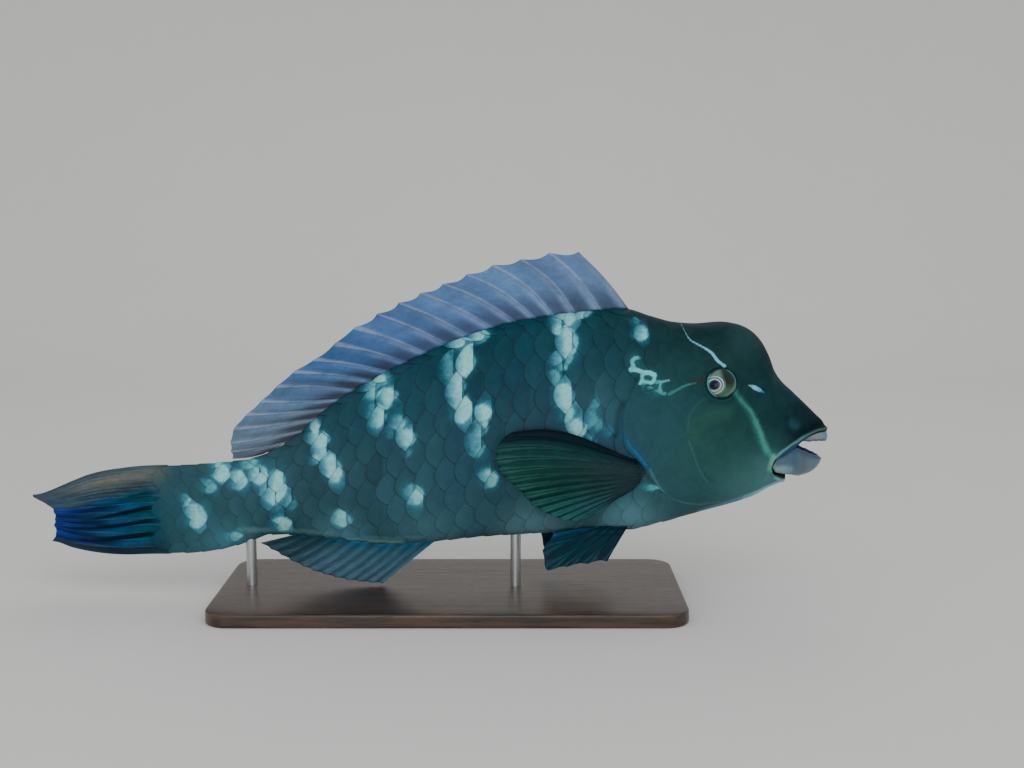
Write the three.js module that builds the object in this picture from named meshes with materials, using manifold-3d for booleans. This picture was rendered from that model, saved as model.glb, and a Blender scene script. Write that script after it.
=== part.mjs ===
// A large steephead parrotfish as a still, life-size museum model on a plain stand with two rods.
// Millimetres. +X points to the snout, +Y to the fish's left side, +Z up; the stand rests on Z = 0.
// Along the fish a "station" is the distance behind the tip of the snout.

import * as THREE from "three";
import { mergeVertices } from "three/addons/utils/BufferGeometryUtils.js";
import Module from "manifold-3d";

const wasm = await Module();
wasm.setup();

// Driving dimensions of the whole
const TOTAL_LENGTH = 607.2;
const SNOUT_X = TOTAL_LENGTH / 2;
const GAP = 0.3;
const TAIL_SWAY = 12;
const SWAY_START = 300;

// The outline of the flesh, each as [station, height]
const BACK = [[0.4, 128], [3, 136], [10, 143.5], [28, 160.8], [37, 169.3], [42.5, 177.5], [47, 189],
  [53, 199.5], [62, 207.8], [72, 211.8], [83, 213.3], [103, 212], [118, 213], [135, 217.3], [155, 223], [191, 220],
  [237, 213], [271, 203], [337, 173], [374, 150.5], [400, 128], [419, 115.5], [439, 108], [480, 103.8],
  [510, 101.8]];
const BELLY = [[0.4, 124], [3, 115], [4.6, 108.8], [6.5, 103.8], [10.4, 99.4], [15, 96.6], [22, 94.6],
  [32, 91.4], [44, 86.5], [57, 79.5], [93, 69], [129, 59.5], [152, 54.5], [179, 54.5], [209, 52.3],
  [263, 48.5], [301, 44.5], [333, 42.7], [361, 45], [400, 48.8], [422, 49], [433, 45.8], [449, 40],
  [468, 35.6], [487, 33.6], [510, 33.3]];
// Half the width of the body, as [station, half width]
const HALF_WIDTH = [[0.4, 2.5], [3, 7.5], [8, 11.5], [15, 14.5], [25, 18], [40, 24.5], [60, 32], [80, 37.5],
  [100, 41], [125, 43.5], [150, 44.2], [200, 43], [240, 41], [280, 38], [320, 33.5], [350, 29],
  [380, 23.5], [410, 18], [450, 12], [480, 8.5], [510, 6]];
// Where the body is widest, as a share of its depth from the belly, and how round its back and belly are
const WIDEST = [[0, 0.5], [60, 0.45], [90, 0.42], [150, 0.43], [300, 0.46], [450, 0.5], [510, 0.5]];
const BACK_ROUNDNESS = [[0, 2.2], [60, 2.3], [90, 2.2], [150, 1.85], [300, 1.75], [450, 1.9], [510, 2]];
const BELLY_ROUNDNESS = [[0, 2.1], [60, 2.2], [150, 2.3], [300, 2.2], [450, 2], [510, 2]];

// Where the body is parted
const GILL_EDGE = [[153, 260], [153, 221], [146, 196], [146, 181], [153, 165], [159.5, 147], [158.5, 128],
  [146, 113], [133, 94], [110, 79], [92, 69], [62, 30]];
const HEAD_END = 172;
const TRUNK_START = 70;
const STALK_START = 400;
const STALK_END = 500;
const GILL_FLARE = 1.3;
const FLARE_START = 100;
const HEAD_SIDES = 36;
const BODY_SIDES = 32;

// The gill covers run back to the gill edge from this outline, over a pocket with a flat floor
const COVER = [[126, 87], [112, 91], [102, 106], [108, 118], [112.5, 131], [114.5, 146], [116, 160],
  [128, 173], [146, 181], [175, 181], [175, 87]];
const COVER_FLOOR = 25;

// The mouth, seen from the side
const UPPER_GUM = [[2.4, 131.4], [10, 130.8], [16, 129], [24, 124.6], [28, 120.8], [34, 117], [42, 113.4],
  [45.3, 111]];
const MOUTH_CORNER = [46.3, 106.5];
const LOWER_GUM = [[45.6, 101], [41, 97.2], [33, 93]];
const UPPER_BEAK = [[2.4, 131.4], [10, 130.8], [16, 129], [24, 124.6], [19, 124], [12, 124], [1.6, 122.8],
  [-3, 122.8], [-3, 131.4]];
const LOWER_BEAK = [[4, 110], [7, 110.8], [20.5, 116.6], [27.5, 119.8], [34, 116.3], [42, 112.6], [44.5, 111],
  [45.4, 105.5], [44, 103.2], [35, 100.2], [25, 97.4], [21.5, 94], [4, 94]];
const BEAK_INSET = 1;
const BEAK_WALL = 5;
const LIP_RADIUS = 1.7;

// The eye and the nostrils
const EYE = { station: 87.2, height: 170.8, radius: 14, sunk: 8.4 };
const ORBIT_RIM = { radius: 12.8, thickness: 2 };
const NOSTRILS = [{ station: 65, height: 168.6, radius: 1.4 }, { station: 59.5, height: 166.4, radius: 1 }];
const NOSTRIL_DEPTH = 4;

// Fins: rays stand proud of the membrane on both faces
const MEMBRANE = { root: 0.9, edge: 0.36 };
const RAY = { root: 1.1, tip: 0.2, spread: 0.13 };

// The stand
const BASE = { length: 350, width: 150, height: 10, corner: 18, centreX: 18, bevel: 1.5 };
const ROD_RADIUS = 4;
const ROD_SINK = { base: 5, body: 9 };
const FRONT_ROD_STATION = 236;
const REAR_ROD_STATION = 438;

const FINISHES = {
  skin: { color: 0x2f5f68, roughness: 0.45, metalness: 0 },
  gill_skin: { color: 0x2f6260, roughness: 0.45, metalness: 0 },
  dorsal_fin: { color: 0x5f78a0, roughness: 0.5, metalness: 0 },
  anal_fin: { color: 0x35505f, roughness: 0.5, metalness: 0 },
  tail_fin: { color: 0x2f5f90, roughness: 0.5, metalness: 0 },
  paired_fin: { color: 0x12383a, roughness: 0.5, metalness: 0 },
  beak: { color: 0x8f9aa0, roughness: 0.35, metalness: 0 },
  eye: { color: 0xaab5a0, roughness: 0.08, metalness: 0 },
  stand_board: { color: 0x2b2724, roughness: 0.4, metalness: 0 },
  stand_rod: { color: 0xb9bcbe, roughness: 0.3, metalness: 1 },
};

// A smooth curve through [position, value] points that never overshoots them
function smoothProfile(points) {
  const at = points.map((point) => point[0]);
  const value = points.map((point) => point[1]);
  const last = points.length - 1;
  const step = at.slice(1).map((next, i) => next - at[i]);
  const rise = step.map((width, i) => (value[i + 1] - value[i]) / width);
  const slope = value.map((_, i) => {
    if (i === 0) return rise[0];
    if (i === last) return rise[last - 1];
    if (rise[i - 1] * rise[i] <= 0) return 0;
    const before = 2 * step[i] + step[i - 1];
    const after = step[i] + 2 * step[i - 1];
    return (before + after) / (before / rise[i - 1] + after / rise[i]);
  });
  return (position) => {
    const x = Math.min(Math.max(position, at[0]), at[last]);
    let i = 0;
    while (i < last - 1 && x > at[i + 1]) i += 1;
    const t = (x - at[i]) / step[i];
    const bend = t * t * (3 - 2 * t);
    const leave = t * (1 - t) * (1 - t) * step[i] * slope[i];
    const arrive = t * t * (t - 1) * step[i] * slope[i + 1];
    return value[i] + (value[i + 1] - value[i]) * bend + leave + arrive;
  };
}

const backAt = smoothProfile(BACK);
const bellyAt = smoothProfile(BELLY);
const halfWidthAt = smoothProfile(HALF_WIDTH);
const widestShareAt = smoothProfile(WIDEST);
const backRoundnessAt = smoothProfile(BACK_ROUNDNESS);
const bellyRoundnessAt = smoothProfile(BELLY_ROUNDNESS);

// How far the tail's swing has moved a station to the left
function swayAt(station) {
  const share = Math.max(0, (station - SWAY_START) / (TOTAL_LENGTH - SWAY_START));
  return TAIL_SWAY * share * share;
}

function place(station, side, height) {
  return new THREE.Vector3(SNOUT_X - station, side + swayAt(station), height);
}

// Half the body's width at a station and height, from the superellipse of its cross-section
function flankAt(station, height) {
  const top = backAt(station);
  const bottom = bellyAt(station);
  const widest = bottom + (top - bottom) * widestShareAt(station);
  const upper = height > widest;
  const reach = upper ? (height - widest) / (top - widest) : (widest - height) / (widest - bottom);
  const roundness = upper ? backRoundnessAt(station) : bellyRoundnessAt(station);
  const left = 1 - Math.min(1, Math.abs(reach)) ** roundness;
  return halfWidthAt(station) * left ** (1 / roundness);
}

// A point of the skin: turn 0 is the back, half a turn the belly, and the left side comes first
function skinPoint(station, turn, inset, flare) {
  const top = backAt(station) - inset;
  const bottom = bellyAt(station) + inset;
  const widest = bottom + (top - bottom) * widestShareAt(station);
  const angle = turn * 2 * Math.PI;
  const upper = Math.cos(angle) > 0;
  const roundness = upper ? backRoundnessAt(station) : bellyRoundnessAt(station);
  const open = THREE.MathUtils.smoothstep(station, FLARE_START, GILL_EDGE[5][0]);
  const width = Math.max(0.4, halfWidthAt(station) - inset + flare * open);
  const side = Math.sign(Math.sin(angle)) * width * Math.abs(Math.sin(angle)) ** (2 / roundness);
  const depth = upper ? top - widest : bottom - widest;
  return place(station, side, widest + depth * Math.abs(Math.cos(angle)) ** (2 / roundness));
}

// A closed geometry from points and triangles, its faces turned outward
function closedGeometry(points, triangles) {
  const volume = triangles.reduce((sum, [a, b, c]) => {
    return sum + points[a].dot(new THREE.Vector3().crossVectors(points[b], points[c]));
  }, 0);
  const outward = volume < 0 ? triangles.map(([a, b, c]) => [a, c, b]) : triangles;
  const geometry = new THREE.BufferGeometry().setFromPoints(points);
  geometry.setIndex(outward.flat());
  return geometry;
}

// A loft through the body's cross-sections, closed by a fan at each end
function bodyLoft(stations, around, { inset = 0, flare = 0 } = {}) {
  const points = stations.flatMap((station) => {
    return Array.from({ length: around }, (_, j) => skinPoint(station, j / around, inset, flare));
  });
  const triangles = [];
  for (let i = 0; i < stations.length - 1; i += 1) {
    for (let j = 0; j < around; j += 1) {
      const here = i * around + j;
      const beside = i * around + ((j + 1) % around);
      triangles.push([here, beside, beside + around], [here, beside + around, here + around]);
    }
  }
  [0, stations.length - 1].forEach((ring) => {
    const first = ring * around;
    const middle = points.length;
    const sum = points.slice(first, first + around).reduce((a, b) => a.clone().add(b));
    points.push(sum.divideScalar(around));
    for (let j = 0; j < around; j += 1) {
      const pair = [first + j, first + ((j + 1) % around)];
      triangles.push(ring === 0 ? [middle, pair[1], pair[0]] : [middle, pair[0], pair[1]]);
    }
  });
  return closedGeometry(points, triangles);
}

function steps(start, end, spacing) {
  const count = Math.max(1, Math.round((end - start) / spacing));
  return Array.from({ length: count + 1 }, (_, i) => start + ((end - start) * i) / count);
}

function toSolid(geometry) {
  const bare = geometry.clone();
  bare.deleteAttribute("normal");
  bare.deleteAttribute("uv");
  const merged = mergeVertices(bare, 1e-4);
  return new wasm.Manifold(new wasm.Mesh({
    numProp: 3,
    vertProperties: new Float32Array(merged.attributes.position.array),
    triVerts: new Uint32Array(merged.index.array),
  }));
}

// The largest closed surface of a solid, as a geometry
function toGeometry(solid) {
  const pieces = solid.decompose();
  const largest = pieces.reduce((best, piece) => (piece.volume() > best.volume() ? piece : best));
  const mesh = largest.getMesh();
  const geometry = new THREE.BufferGeometry();
  geometry.setAttribute("position", new THREE.BufferAttribute(Float32Array.from(mesh.vertProperties), 3));
  geometry.setIndex(Array.from(mesh.triVerts));
  return geometry;
}

// A block as wide as the fish, or from one side to another, whose outline is seen from the side
function sideBlock(outline, from = -90, to = 90) {
  const shape = new THREE.Shape(outline.map(([station, height]) => {
    return new THREE.Vector2(SNOUT_X - station, height);
  }));
  const block = new THREE.ExtrudeGeometry(shape, { depth: to - from, bevelEnabled: false });
  return toSolid(block.rotateX(Math.PI / 2).translate(0, to, 0));
}

// An outline moved inward by a distance, or outward if that is negative
function insetOutline(outline, distance) {
  const points = outline.map(([station, height]) => new THREE.Vector2(station, height));
  const inward = THREE.ShapeUtils.area(points) > 0 ? 1 : -1;
  const normals = points.map((point, i) => {
    const along = points[(i + 1) % points.length].clone().sub(point).normalize();
    return new THREE.Vector2(-along.y, along.x).multiplyScalar(inward);
  });
  return points.map((point, i) => {
    const before = normals[(i + points.length - 1) % points.length];
    const middle = before.clone().add(normals[i]).normalize();
    const moved = point.clone().addScaledVector(middle, distance / Math.max(0.5, middle.dot(before)));
    return [moved.x, moved.y];
  });
}

const shifted = (line, distance) => line.map(([station, height]) => [station + distance, height]);

// A sheet with two faces, triangulated alike, between a middle surface's columns and rows
function sheet(columns, rows, middle, halfThickness) {
  const wide = columns.length;
  const points = [-1, 1].flatMap((face) => rows.flatMap((row) => columns.map((column) => {
    const point = middle(column, row);
    point.y += face * halfThickness(column, row);
    return point;
  })));
  const other = wide * rows.length;
  const triangles = [];
  for (let r = 0; r < rows.length - 1; r += 1) {
    for (let c = 0; c < wide - 1; c += 1) {
      const a = r * wide + c;
      const b = a + 1;
      const d = a + wide;
      const e = d + 1;
      triangles.push([a, b, e], [a, e, d]);
      triangles.push([a + other, e + other, b + other], [a + other, d + other, e + other]);
    }
  }
  const rim = [
    ...columns.map((_, c) => c),
    ...rows.slice(1).map((_, r) => (r + 2) * wide - 1),
    ...columns.slice(1).map((_, c) => rows.length * wide - 2 - c),
    ...rows.slice(2).map((_, r) => (rows.length - 2 - r) * wide),
  ];
  rim.forEach((near, i) => {
    const next = rim[(i + 1) % rim.length];
    triangles.push([near, near + other, next + other], [near, next + other, next]);
  });
  return closedGeometry(points, triangles);
}

// Columns of a rayed fin: the crest of each ray, the foot of its ridge on both sides, and the middle of
// the web between the first, scalloped rays
function rayColumns(rays, scalloped = 0) {
  const feet = Array.from({ length: rays - 1 }, (_, i) => {
    const web = i < scalloped ? [i + 0.5] : [];
    return [i, i + RAY.spread, ...web, i + 1 - RAY.spread];
  });
  return [...feet.flat(), rays - 1];
}

// Half the thickness of a rayed fin at a column, where whole numbers are rays, and a share of its height
function rayedThickness(column, share, scale = 1) {
  const web = THREE.MathUtils.lerp(MEMBRANE.root, MEMBRANE.edge, Math.sqrt(share));
  const onRay = Math.abs(column - Math.round(column)) < 1e-6;
  return scale * (web + (onRay ? THREE.MathUtils.lerp(RAY.root, RAY.tip, share) : 0));
}

// A point at a share of the length of a polyline of [station, height] points, smoothed into a curve
function edgeCurve(points) {
  const knots = points.map(([s, h]) => new THREE.Vector3(s, h, 0));
  const curve = new THREE.CatmullRomCurve3(knots, false, "centripetal");
  curve.arcLengthDivisions = 400;
  return (share) => {
    const point = curve.getPointAt(Math.min(1, Math.max(0, share)));
    return [point.x, point.y];
  };
}

const mix = (from, to, share) => from.map((value, i) => value + (to[i] - value) * share);
const scallopAt = (column) => Math.sin(Math.PI * (column - Math.floor(column)));

// The dorsal fin: spines, then soft rays, leaning back along the ridge of the back
const DORSAL = { spines: 9, soft: 11, scallop: 3, softScallop: 1, rows: 5, lean: 2.5 };
// The rays' roots, tips and forward bow, each by the number of the ray
const DORSAL_ROOTS = smoothProfile([[0, 153.2], [2, 193], [5, 238], [8, 289], [11, 333], [14, 369], [18, 409],
  [19, 429]]);
const DORSAL_TIPS = smoothProfile([[0, 0], [4, 0.264], [8, 0.491], [12, 0.729], [15, 0.88], [17, 0.961],
  [19, 1]]);
const DORSAL_BOW = smoothProfile([[0, 1.8], [2, 4.2], [4, 3.5], [7, 1.5], [19, 1]]);
const DORSAL_EDGE = [[189.3, 264.2], [211, 263.4], [231, 259], [252, 254.8], [290, 240.5], [324.6, 225.6],
  [355, 208.7], [383.8, 185.8], [402.7, 174.4], [428.6, 151.5], [449.3, 130.4], [452, 118], [450.7, 107.7]];

function dorsalFin() {
  const rays = DORSAL.spines + DORSAL.soft;
  const edge = edgeCurve(DORSAL_EDGE);
  const middle = (column, row) => {
    const along = column / (rays - 1);
    const station = DORSAL_ROOTS(column);
    const root = [station, backAt(station) + GAP + 0.1];
    const depth = column < DORSAL.spines ? DORSAL.scallop : DORSAL.softScallop;
    const tip = edge(DORSAL_TIPS(column));
    const [back, up] = [tip[0] - root[0], tip[1] - root[1]];
    const length = Math.hypot(back, up);
    const [s, h] = mix(root, tip, row * (1 - (depth * scallopAt(column)) / length));
    const bow = (DORSAL_BOW(column) * Math.sin(Math.PI * row)) / length;
    const lean = DORSAL.lean * row * row * Math.sin(Math.PI * Math.min(1, along * 1.2));
    return place(s - bow * up, lean, h + bow * back);
  };
  const rows = steps(0, 1, 1 / DORSAL.rows);
  const thickness = (column, row) => rayedThickness(column, row, 1.15);
  return sheet(rayColumns(rays, DORSAL.spines), rows, middle, thickness);
}

// The anal fin, folded back under the belly
const ANAL = { rays: 12, start: 298, end: 406, rows: 4, scallop: 1.2, scale: 0.9 };
const ANAL_EDGE = [[338, 11.2], [350, 12], [368, 14.5], [388, 20], [405, 27.5], [419, 35.5], [431, 42.5]];

function analFin() {
  const edge = edgeCurve(ANAL_EDGE);
  const middle = (column, row) => {
    const along = column / (ANAL.rays - 1);
    const station = ANAL.start + (ANAL.end - ANAL.start) * along;
    const root = [station, bellyAt(station) - GAP - 0.1];
    const tip = edge(along);
    const low = 1 - (ANAL.scallop * scallopAt(column)) / Math.hypot(tip[0] - root[0], tip[1] - root[1]);
    const [s, h] = mix(root, tip, row * low);
    return place(s, 0, h);
  };
  const rows = steps(0, 1, 1 / ANAL.rows);
  return sheet(rayColumns(ANAL.rays), rows, middle, (column, row) => rayedThickness(column, row, ANAL.scale));
}

// The tail fin, partly closed: its root is as thick as the end of the tail stalk
const TAIL = { rays: 13, rows: 7, rootShare: 0.3, wave: 2.5 };
const TAIL_EDGE = [[607, 78], [607.2, 76.4], [603.5, 73.6], [597, 70.5], [590.5, 67], [588.9, 60.7],
  [590.8, 53.6], [590.4, 47], [593.4, 41.2]];
const TAIL_TOP = smoothProfile([[500, 102], [532, 100.3], [557, 97.5], [577, 92.4], [598.4, 83.7],
  [607.2, 77.5]]);
const TAIL_BOTTOM = smoothProfile([[500, 33.5], [548, 31.8], [578, 32.7], [593.4, 41.2]]);

function tailFin() {
  const edge = edgeCurve(TAIL_EDGE);
  const rootStation = STALK_END + GAP;
  const middle = (column, row) => {
    const along = column / (TAIL.rays - 1);
    const tip = edge(along);
    const s = THREE.MathUtils.lerp(rootStation, tip[0], row);
    const rootHeight = THREE.MathUtils.lerp(TAIL_TOP(s), TAIL_BOTTOM(s), along);
    const straight = THREE.MathUtils.lerp(backAt(STALK_END), bellyAt(STALK_END), along);
    const nearRoot = THREE.MathUtils.lerp(straight, rootHeight, Math.min(1, row * 3));
    const h = THREE.MathUtils.lerp(nearRoot, tip[1], row ** 4);
    return place(s, TAIL.wave * row * Math.sin(along * 9), h);
  };
  const thickness = (column, row) => {
    const along = column / (TAIL.rays - 1);
    const height = THREE.MathUtils.lerp(backAt(STALK_END), bellyAt(STALK_END), along);
    const fade = Math.max(0, 1 - row / TAIL.rootShare);
    return Math.max(rayedThickness(column, row), flankAt(STALK_END, height) * fade * fade);
  };
  return sheet(rayColumns(TAIL.rays), steps(0, 1, 1 / TAIL.rows), middle, thickness);
}

// A pectoral fin, folded back along the flank and standing off from it towards its tip
const PECTORAL = { rays: 15, rows: 5, standOff: 13, cup: 3, scallop: 1.5, rootThickness: 2.2 };
const PECTORAL_ROOT = [[151, 117], [146.5, 110], [147, 102], [152, 95], [158, 90]];
const PECTORAL_EDGE = [[238, 138.5], [243.5, 135], [248.5, 129], [250.8, 122], [250, 113], [245, 106.5],
  [237, 98.5], [231.5, 93.5], [225.5, 86], [214, 78], [204.5, 73.5], [194.5, 71.5], [178.5, 77]];

function pectoralFin(side) {
  const root = edgeCurve(PECTORAL_ROOT);
  const edge = edgeCurve(PECTORAL_EDGE);
  const thickness = (column, row) => {
    const stem = PECTORAL.rootThickness * Math.max(0, 1 - row * 5);
    return rayedThickness(column, row, 0.85) + stem;
  };
  const middle = (column, row) => {
    const along = column / (PECTORAL.rays - 1);
    const from = root(along);
    const tip = edge(along);
    const low = 1 - (PECTORAL.scallop * scallopAt(column)) / Math.hypot(tip[0] - from[0], tip[1] - from[1]);
    const share = row * low;
    const straight = mix(from, tip, share);
    const bow = (1 - along) ** 3 * Math.sin(Math.PI * share ** 1.4) * 8;
    const [s, h] = [straight[0] - bow * 0.2, straight[1] + bow];
    const clear = flankAt(s, h) + GAP + thickness(column, row) + 0.15;
    const away = PECTORAL.standOff * share ** 1.4 + PECTORAL.cup * Math.sin(Math.PI * along) * share;
    return place(s, side * (clear + away), h);
  };
  return sheet(rayColumns(PECTORAL.rays), steps(0, 1, 1 / PECTORAL.rows), middle, thickness);
}

// A pelvic fin, half spread below the belly
const PELVIC = { rays: 6, rows: 5, splay: 0.3, scallop: 2, rootThickness: 1.2 };
const PELVIC_ROOT = [[154, 59.5], [180, 60.5]];
const PELVIC_EDGE = [[168, 36], [203.5, 31.8], [211, 30.3], [215.5, 33], [216, 44.5], [208, 57]];

function pelvicFin(side) {
  const edge = edgeCurve(PELVIC_EDGE);
  const thickness = (column, row) => {
    const stem = PELVIC.rootThickness * Math.max(0, 1 - row * 4);
    return rayedThickness(column, row, 0.9) + stem;
  };
  const rootHeight = PELVIC_ROOT[0][1];
  const middle = (column, row) => {
    const along = column / (PELVIC.rays - 1);
    const root = mix(PELVIC_ROOT[0], PELVIC_ROOT[1], along);
    const tip = edge(along);
    const low = 1 - (PELVIC.scallop * scallopAt(column)) / Math.hypot(tip[0] - root[0], tip[1] - root[1]);
    const [s, h] = mix(root, tip, row * low);
    const below = flankAt(s, rootHeight) + PELVIC.splay * (rootHeight - h);
    const clear = Math.max(below, flankAt(s, h)) + GAP + thickness(column, row) + 0.15;
    return place(s, side * clear, h);
  };
  return sheet(rayColumns(PELVIC.rays), steps(0, 1, 1 / PELVIC.rows), middle, thickness);
}

// The eye's centre and the direction it looks, square to the skin
function eyeFrame(side) {
  const { station, height, sunk } = EYE;
  const reach = flankAt(station, height);
  const slopeAlong = (flankAt(station + 2, height) - flankAt(station - 2, height)) / 4;
  const slopeUp = (flankAt(station, height + 2) - flankAt(station, height - 2)) / 4;
  const look = new THREE.Vector3(slopeAlong, side, -slopeUp).normalize();
  const surface = place(station, side * reach, height);
  return { look, surface, centre: surface.clone().addScaledVector(look, -sunk) };
}

function eyeball(side, extra = 0) {
  const { centre, look } = eyeFrame(side);
  const ball = new THREE.SphereGeometry(EYE.radius + extra, 20, 12);
  const turn = new THREE.Quaternion().setFromUnitVectors(new THREE.Vector3(0, 1, 0), look);
  return ball.applyQuaternion(turn).translate(centre.x, centre.y, centre.z);
}

function orbitRim(side) {
  const { surface, look } = eyeFrame(side);
  const ring = new THREE.TorusGeometry(ORBIT_RIM.radius, ORBIT_RIM.thickness, 6, 24);
  const turn = new THREE.Quaternion().setFromUnitVectors(new THREE.Vector3(0, 0, 1), look);
  const seat = surface.clone().addScaledVector(look, -ORBIT_RIM.thickness / 4);
  return toSolid(ring.applyQuaternion(turn).translate(seat.x, seat.y, seat.z));
}

function nostrilPit({ station, height, radius }, side) {
  const reach = flankAt(station, height);
  const pit = new THREE.CylinderGeometry(radius, radius, NOSTRIL_DEPTH * 2, 8);
  const at = place(station, side * reach, height);
  return toSolid(pit.translate(at.x, at.y, at.z));
}

// A rounded lip along a gum line, from one corner of the mouth round the front to the other
function lip(line, drop) {
  const right = line.map(([s, h]) => place(s + 1, -flankAt(s + 1, h + drop) + 0.6, h + drop));
  const left = right.map((point) => new THREE.Vector3(point.x, -point.y, point.z));
  const curve = new THREE.CatmullRomCurve3([...right.reverse(), ...left], false, "centripetal");
  const section = new THREE.Shape().absarc(0, 0, LIP_RADIUS, 0, 2 * Math.PI);
  return toSolid(new THREE.ExtrudeGeometry(section, {
    steps: 18,
    curveSegments: 4,
    bevelEnabled: false,
    extrudePath: curve,
  }));
}

const MOUTH = [[-6, 132], ...UPPER_GUM, MOUTH_CORNER, ...LOWER_GUM, [27, 88], [-6, 88]];
const CHIN = [[MOUTH_CORNER[0], 104], [60, 74], [60, 60], [-6, 60], [-6, 104]];
const HEAD_STATIONS = [0.4, 1.6, 3, 5, 8, 12, 16, ...steps(20.5, HEAD_END, 6)];

function headPieces() {
  const flesh = toSolid(bodyLoft(HEAD_STATIONS, HEAD_SIDES, { flare: GILL_FLARE }));
  const mouth = sideBlock(MOUTH);
  const chin = sideBlock(CHIN);
  const front = sideBlock([...shifted(GILL_EDGE, -GAP * 0.75), [-20, 30], [-20, 260]]);
  const cheeks = flesh.intersect(front);
  let head = cheeks.subtract(sideBlock(insetOutline(CHIN, -GAP)));
  head = head.add(lip(UPPER_GUM, 1));
  const covers = {};
  [-1, 1].forEach((side) => {
    const name = side < 0 ? "right" : "left";
    const pocketSpan = side < 0 ? [-90, GAP - COVER_FLOOR] : [COVER_FLOOR - GAP, 90];
    const coverSpan = side < 0 ? [-90, -COVER_FLOOR] : [COVER_FLOOR, 90];
    covers[`gill_cover_${name}`] = cheeks.intersect(sideBlock(insetOutline(COVER, GAP), ...coverSpan));
    head = head.subtract(sideBlock(COVER, ...pocketSpan)).add(orbitRim(side));
    head = head.subtract(toSolid(eyeball(side, GAP)));
    NOSTRILS.forEach((nostril) => {
      head = head.subtract(nostrilPit(nostril, side));
    });
  });
  head = head.subtract(mouth);
  const jaw = flesh.intersect(chin).subtract(mouth);
  const shell = toSolid(bodyLoft(HEAD_STATIONS.slice(1, 14), 24, { inset: BEAK_INSET }));
  const cavity = toSolid(bodyLoft(steps(4, 60, 6), 16, { inset: BEAK_INSET + BEAK_WALL }));
  const upper = shell.intersect(sideBlock(insetOutline(UPPER_BEAK, GAP))).subtract(cavity);
  const lower = shell.intersect(sideBlock(insetOutline(LOWER_BEAK, GAP))).subtract(cavity);
  return { head, lower_jaw: jaw, ...covers, beak_upper: upper, beak_lower: lower };
}

function trunk() {
  const flesh = toSolid(bodyLoft(steps(TRUNK_START, STALK_START, 14), BODY_SIDES));
  const rear = sideBlock([...shifted(GILL_EDGE, GAP * 0.75), [STALK_START + 20, 20], [STALK_START + 20, 260]]);
  return flesh.intersect(rear).subtract(rod(FRONT_ROD_STATION, GAP));
}

function tailStalk() {
  // Closer together in front, where the back's line is hollow below the end of the dorsal fin
  const stations = [...steps(STALK_START + GAP, 448, 8), ...steps(464, STALK_END, 16)];
  const flesh = toSolid(bodyLoft(stations, BODY_SIDES));
  return flesh.subtract(rod(REAR_ROD_STATION, GAP));
}

// A rod from inside the stand's board up into the body, or the hole for it if it is widened
function rod(station, widened = 0) {
  const foot = BASE.height - ROD_SINK.base - widened;
  const head = bellyAt(station) + ROD_SINK.body + widened;
  const shaft = new THREE.CylinderGeometry(ROD_RADIUS + widened, ROD_RADIUS + widened, head - foot, 16);
  return toSolid(shaft.rotateX(Math.PI / 2).translate(SNOUT_X - station, swayAt(station), (foot + head) / 2));
}

function standBase() {
  const { length, width, height, corner, centreX, bevel } = BASE;
  const [halfLength, halfWidth] = [length / 2 - bevel, width / 2 - bevel];
  const plate = new THREE.Shape();
  plate.moveTo(halfLength, halfWidth - corner);
  plate.absarc(halfLength - corner, halfWidth - corner, corner, 0, Math.PI / 2);
  plate.absarc(corner - halfLength, halfWidth - corner, corner, Math.PI / 2, Math.PI);
  plate.absarc(corner - halfLength, corner - halfWidth, corner, Math.PI, 1.5 * Math.PI);
  plate.absarc(halfLength - corner, corner - halfWidth, corner, 1.5 * Math.PI, 2 * Math.PI);
  const board = new THREE.ExtrudeGeometry(plate, {
    depth: height - 2 * bevel,
    curveSegments: 6,
    bevelThickness: bevel,
    bevelSize: bevel,
    bevelSegments: 1,
  });
  const solid = toSolid(board.translate(centreX, 0, bevel));
  return [FRONT_ROD_STATION, REAR_ROD_STATION].reduce((left, station) => left.subtract(rod(station, GAP)), solid);
}

const fish = new THREE.Group();

function addPiece(name, geometry, finish) {
  geometry.computeVertexNormals();
  const mesh = new THREE.Mesh(geometry, new THREE.MeshStandardMaterial(FINISHES[finish]));
  mesh.name = name;
  fish.add(mesh);
}

const headFinish = {
  head: "skin",
  lower_jaw: "skin",
  gill_cover_right: "gill_skin",
  gill_cover_left: "gill_skin",
  beak_upper: "beak",
  beak_lower: "beak",
};
Object.entries(headPieces()).forEach(([name, solid]) => addPiece(name, toGeometry(solid), headFinish[name]));
addPiece("trunk", toGeometry(trunk()), "skin");
addPiece("tail_stalk", toGeometry(tailStalk()), "skin");
addPiece("fin_dorsal", dorsalFin(), "dorsal_fin");
addPiece("fin_anal", analFin(), "anal_fin");
addPiece("fin_caudal", tailFin(), "tail_fin");
[[-1, "right"], [1, "left"]].forEach(([side, name]) => {
  addPiece(`fin_pectoral_${name}`, pectoralFin(side), "paired_fin");
  addPiece(`fin_pelvic_${name}`, pelvicFin(side), "paired_fin");
  addPiece(`eye_${name}`, eyeball(side), "eye");
});
addPiece("stand_base", toGeometry(standBase()), "stand_board");
addPiece("stand_rod_front", toGeometry(rod(FRONT_ROD_STATION)), "stand_rod");
addPiece("stand_rod_rear", toGeometry(rod(REAR_ROD_STATION)), "stand_rod");

export default fish;
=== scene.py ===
"""The looks of a large steephead parrotfish as a still, life-size museum model on a plain stand.

Sizes are millimetres in the frame of the solids and become metres when a mesh is made. A "station" is the
distance behind the tip of the snout. A "turn" goes round the body, from the back (0) down the left side to
the belly (0.5) and up the right side.
"""

import logging
import math
from dataclasses import dataclass, field
from enum import Enum
from typing import Any, Callable, NamedTuple

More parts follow.
